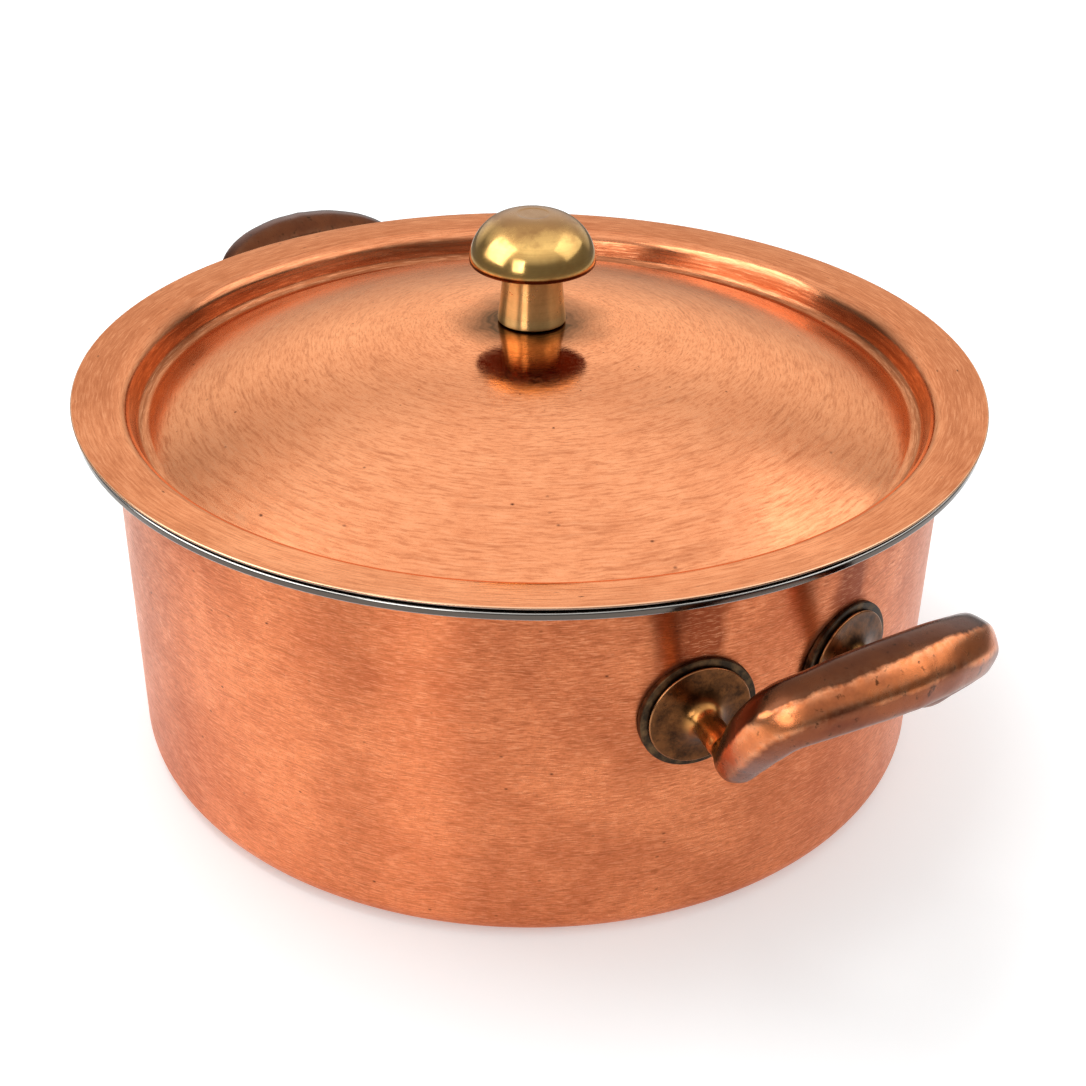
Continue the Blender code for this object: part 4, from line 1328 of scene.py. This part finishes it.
@dataclass
class Camera:
    """The camera, placed as the photograph was taken."""

    place: tuple[float, float, float] = (0.38418, -0.23727, 0.31969)
    heading: float = math.radians(147.728)
    fall: float = math.radians(30.733)
    roll: float = math.radians(1.056)
    lens: float = 54.80
    sensor: float = 36.0
    near: float = 0.01

    def build(self) -> None:
        """Make the camera look along its heading, down by its fall and rolled."""
        forward = Vector((math.cos(self.fall) * math.cos(self.heading),
                          math.cos(self.fall) * math.sin(self.heading), -math.sin(self.fall)))
        level = forward.cross(Vector((0.0, 0.0, 1.0))).normalized()
        upright = level.cross(forward)
        right = math.cos(self.roll) * level + math.sin(self.roll) * upright
        up = math.cos(self.roll) * upright - math.sin(self.roll) * level
        data = bpy.data.cameras.new("camera")
        data.lens = self.lens
        data.sensor_width = self.sensor
        data.clip_start = self.near
        camera = bpy.data.objects.new("camera", data)
        bpy.context.scene.collection.objects.link(camera)
        camera.matrix_world = Matrix.Translation(self.place) @ Matrix(
            (right, up, -forward)).transposed().to_4x4()
        bpy.context.scene.camera = camera

    def direction(self, turn: float, elevation: float) -> Vector:
        """Direction that is turned to the right of the camera's heading, and raised, in degrees."""
        angle = self.heading - math.radians(turn)
        rise = math.radians(elevation)
        return Vector((math.cos(rise) * math.cos(angle), math.cos(rise) * math.sin(angle),
                       math.sin(rise)))


@dataclass(frozen=True)
class Softbox:
    """One rectangular lamp that faces the pot."""

    name: str
    turn: float
    elevation: float
    distance: float
    width: float
    height: float
    watts: float
    on_metal: bool = True
    on_floor: bool = True


@dataclass
class Studio:
    """White floor, pale surroundings and a few soft boxes."""

    camera: Camera
    aim: Vector = field(default_factory=lambda: Vector((0.0, 0.0, 0.08)))
    floor_size: float = 12.0
    floor_colour: Colour = (0.785, 0.815, 0.825)
    floor_glow: float = 0.35
    bright_level: float = 1.12
    dark_level: float = 0.16
    sheet_radius: float = 0.30
    sheet_edge: float = 0.75
    softboxes: tuple[Softbox, ...] = (
        Softbox("left_softbox", -104.0, 34.0, 1.3, 1.10, 1.10, 9.5, on_floor=False),
        Softbox("front_strip", -155.0, 18.0, 1.2, 0.40, 0.55, 2.4, on_floor=False),
        Softbox("right_panel", 84.0, 38.0, 1.3, 1.40, 0.80, 2.8, on_floor=False),
        Softbox("shadow_softbox", -62.0, 72.0, 1.4, 0.80, 0.80, 9.0, on_metal=False),
    )

    def build_floor(self) -> None:
        """A pale floor that glows faintly, so that it is white where no shadow falls.

        To the metal it is a white sheet round the pot, with the dim room beyond.
        """
        half = self.floor_size / 2
        mesh = bpy.data.meshes.new("floor")
        corners = [(-half, -half, 0.0), (half, -half, 0.0), (half, half, 0.0), (-half, half, 0.0)]
        mesh.from_pydata(corners, [], [(0, 1, 2, 3)])
        floor = bpy.data.objects.new("floor", mesh)
        bpy.context.scene.collection.objects.link(floor)
        wiring = Wiring(new_material("floor_white"))
        wiring.tree.nodes.remove(wiring.shader)
        diffuse = wiring.node("BsdfDiffuse", {"Color": (*self.floor_colour, 1.0)})
        rays = wiring.node("LightPath", {})
        seen = wiring.maths("MAXIMUM", rays.outputs["Is Camera Ray"], rays.outputs["Is Glossy Ray"])
        seen = wiring.maths("MAXIMUM", seen, rays.outputs["Is Transmission Ray"])
        glow = wiring.node("Emission", {"Color": (1.0, 0.985, 0.975, 1.0),
                                        "Strength": wiring.maths("MULTIPLY", seen, self.floor_glow)})
        both = wiring.node("AddShader", {0: diffuse.outputs[0], 1: glow.outputs[0]})
        far = wiring.span(wiring.radius(wiring.position()), self.sheet_radius, self.sheet_edge)
        dim = wiring.maths("MULTIPLY", rays.outputs["Is Glossy Ray"], far)
        room = wiring.node("Emission", {"Strength": self.dark_level})
        mixed = wiring.node("MixShader", {0: dim, 1: both.outputs[0], 2: room.outputs[0]})
        output = wiring.tree.nodes["Material Output"]
        wiring.put(output.inputs["Surface"], mixed.outputs[0])
        mesh.materials.append(wiring.owner)

    def build_world(self) -> None:
        """Surroundings: plain white to the eye, and to the metal a bright ceiling and back wall.

        Elsewhere, low down in front and at the sides, the metal sees a dim room.
        """
        world = bpy.data.worlds.new("studio")
        world.use_nodes = True
        wiring = Wiring(world)
        direction = wiring.node("TexCoord", {}).outputs["Generated"]
        rise = wiring.node("SeparateXYZ", {0: direction}).outputs[2]
        ceiling = wiring.span(rise, 0.30, 0.80)
        facing = wiring.vector("DOT_PRODUCT", direction, self.camera.direction(0.0, 8.0), "Value")
        backdrop = wiring.maths("MULTIPLY", wiring.span(facing, 0.55, 0.92),
                                wiring.span(rise, 0.02, 0.28, 0.45, 1.0))
        share = wiring.maths("MAXIMUM", ceiling, backdrop)
        level = wiring.span(share, 0.0, 1.0, self.dark_level, self.bright_level)
        rays = wiring.node("LightPath", {})
        strength = wiring.maths("MAXIMUM", level, rays.outputs["Is Camera Ray"])
        background = wiring.tree.nodes["Background"]
        wiring.put(background.inputs["Strength"], strength)
        wiring.put(background.inputs["Color"], (1.0, 1.0, 1.0, 1.0))
        bpy.context.scene.world = world

    def build_softbox(self, box: Softbox) -> None:
        """Hang one lamp and turn it to the pot."""
        data = bpy.data.lights.new(box.name, "AREA")
        data.shape = "RECTANGLE"
        data.size = box.width
        data.size_y = box.height
        data.energy = box.watts
        lamp = bpy.data.objects.new(box.name, data)
        lamp.visible_glossy = box.on_metal
        lamp.visible_diffuse = box.on_floor
        bpy.context.scene.collection.objects.link(lamp)
        direction = self.camera.direction(box.turn, box.elevation)
        lamp.location = self.aim + direction * box.distance
        lamp.rotation_euler = direction.to_track_quat("Z", "Y").to_euler()

    def build(self) -> None:
        """Build the floor, the surroundings and the lamps, and set the view."""
        self.build_floor()
        self.build_world()
        for box in self.softboxes:
            self.build_softbox(box)
        bpy.context.scene.view_settings.view_transform = "Standard"


def main() -> None:
    """Build the camera, the studio and every piece, in order."""
    logging.basicConfig(level=logging.INFO, format="%(name)s: %(message)s")
    camera = Camera()
    camera.build()
    Studio(camera).build()
    pot = Pot()
    pot.build()
    lid = Lid(pot)
    lid.build()
    Knob(lid).build()
    bronze = CastBronze("handle_bronze").material()
    dark_bronze = OxidisedBronze("backing_bronze").material()
    steel = SatinSteel("rivet_steel", Brushing.ON_WALL).material()
    for side in Side:
        Handle(side, pot, bronze, dark_bronze, steel).build()


if __name__ == "__main__":
    main()
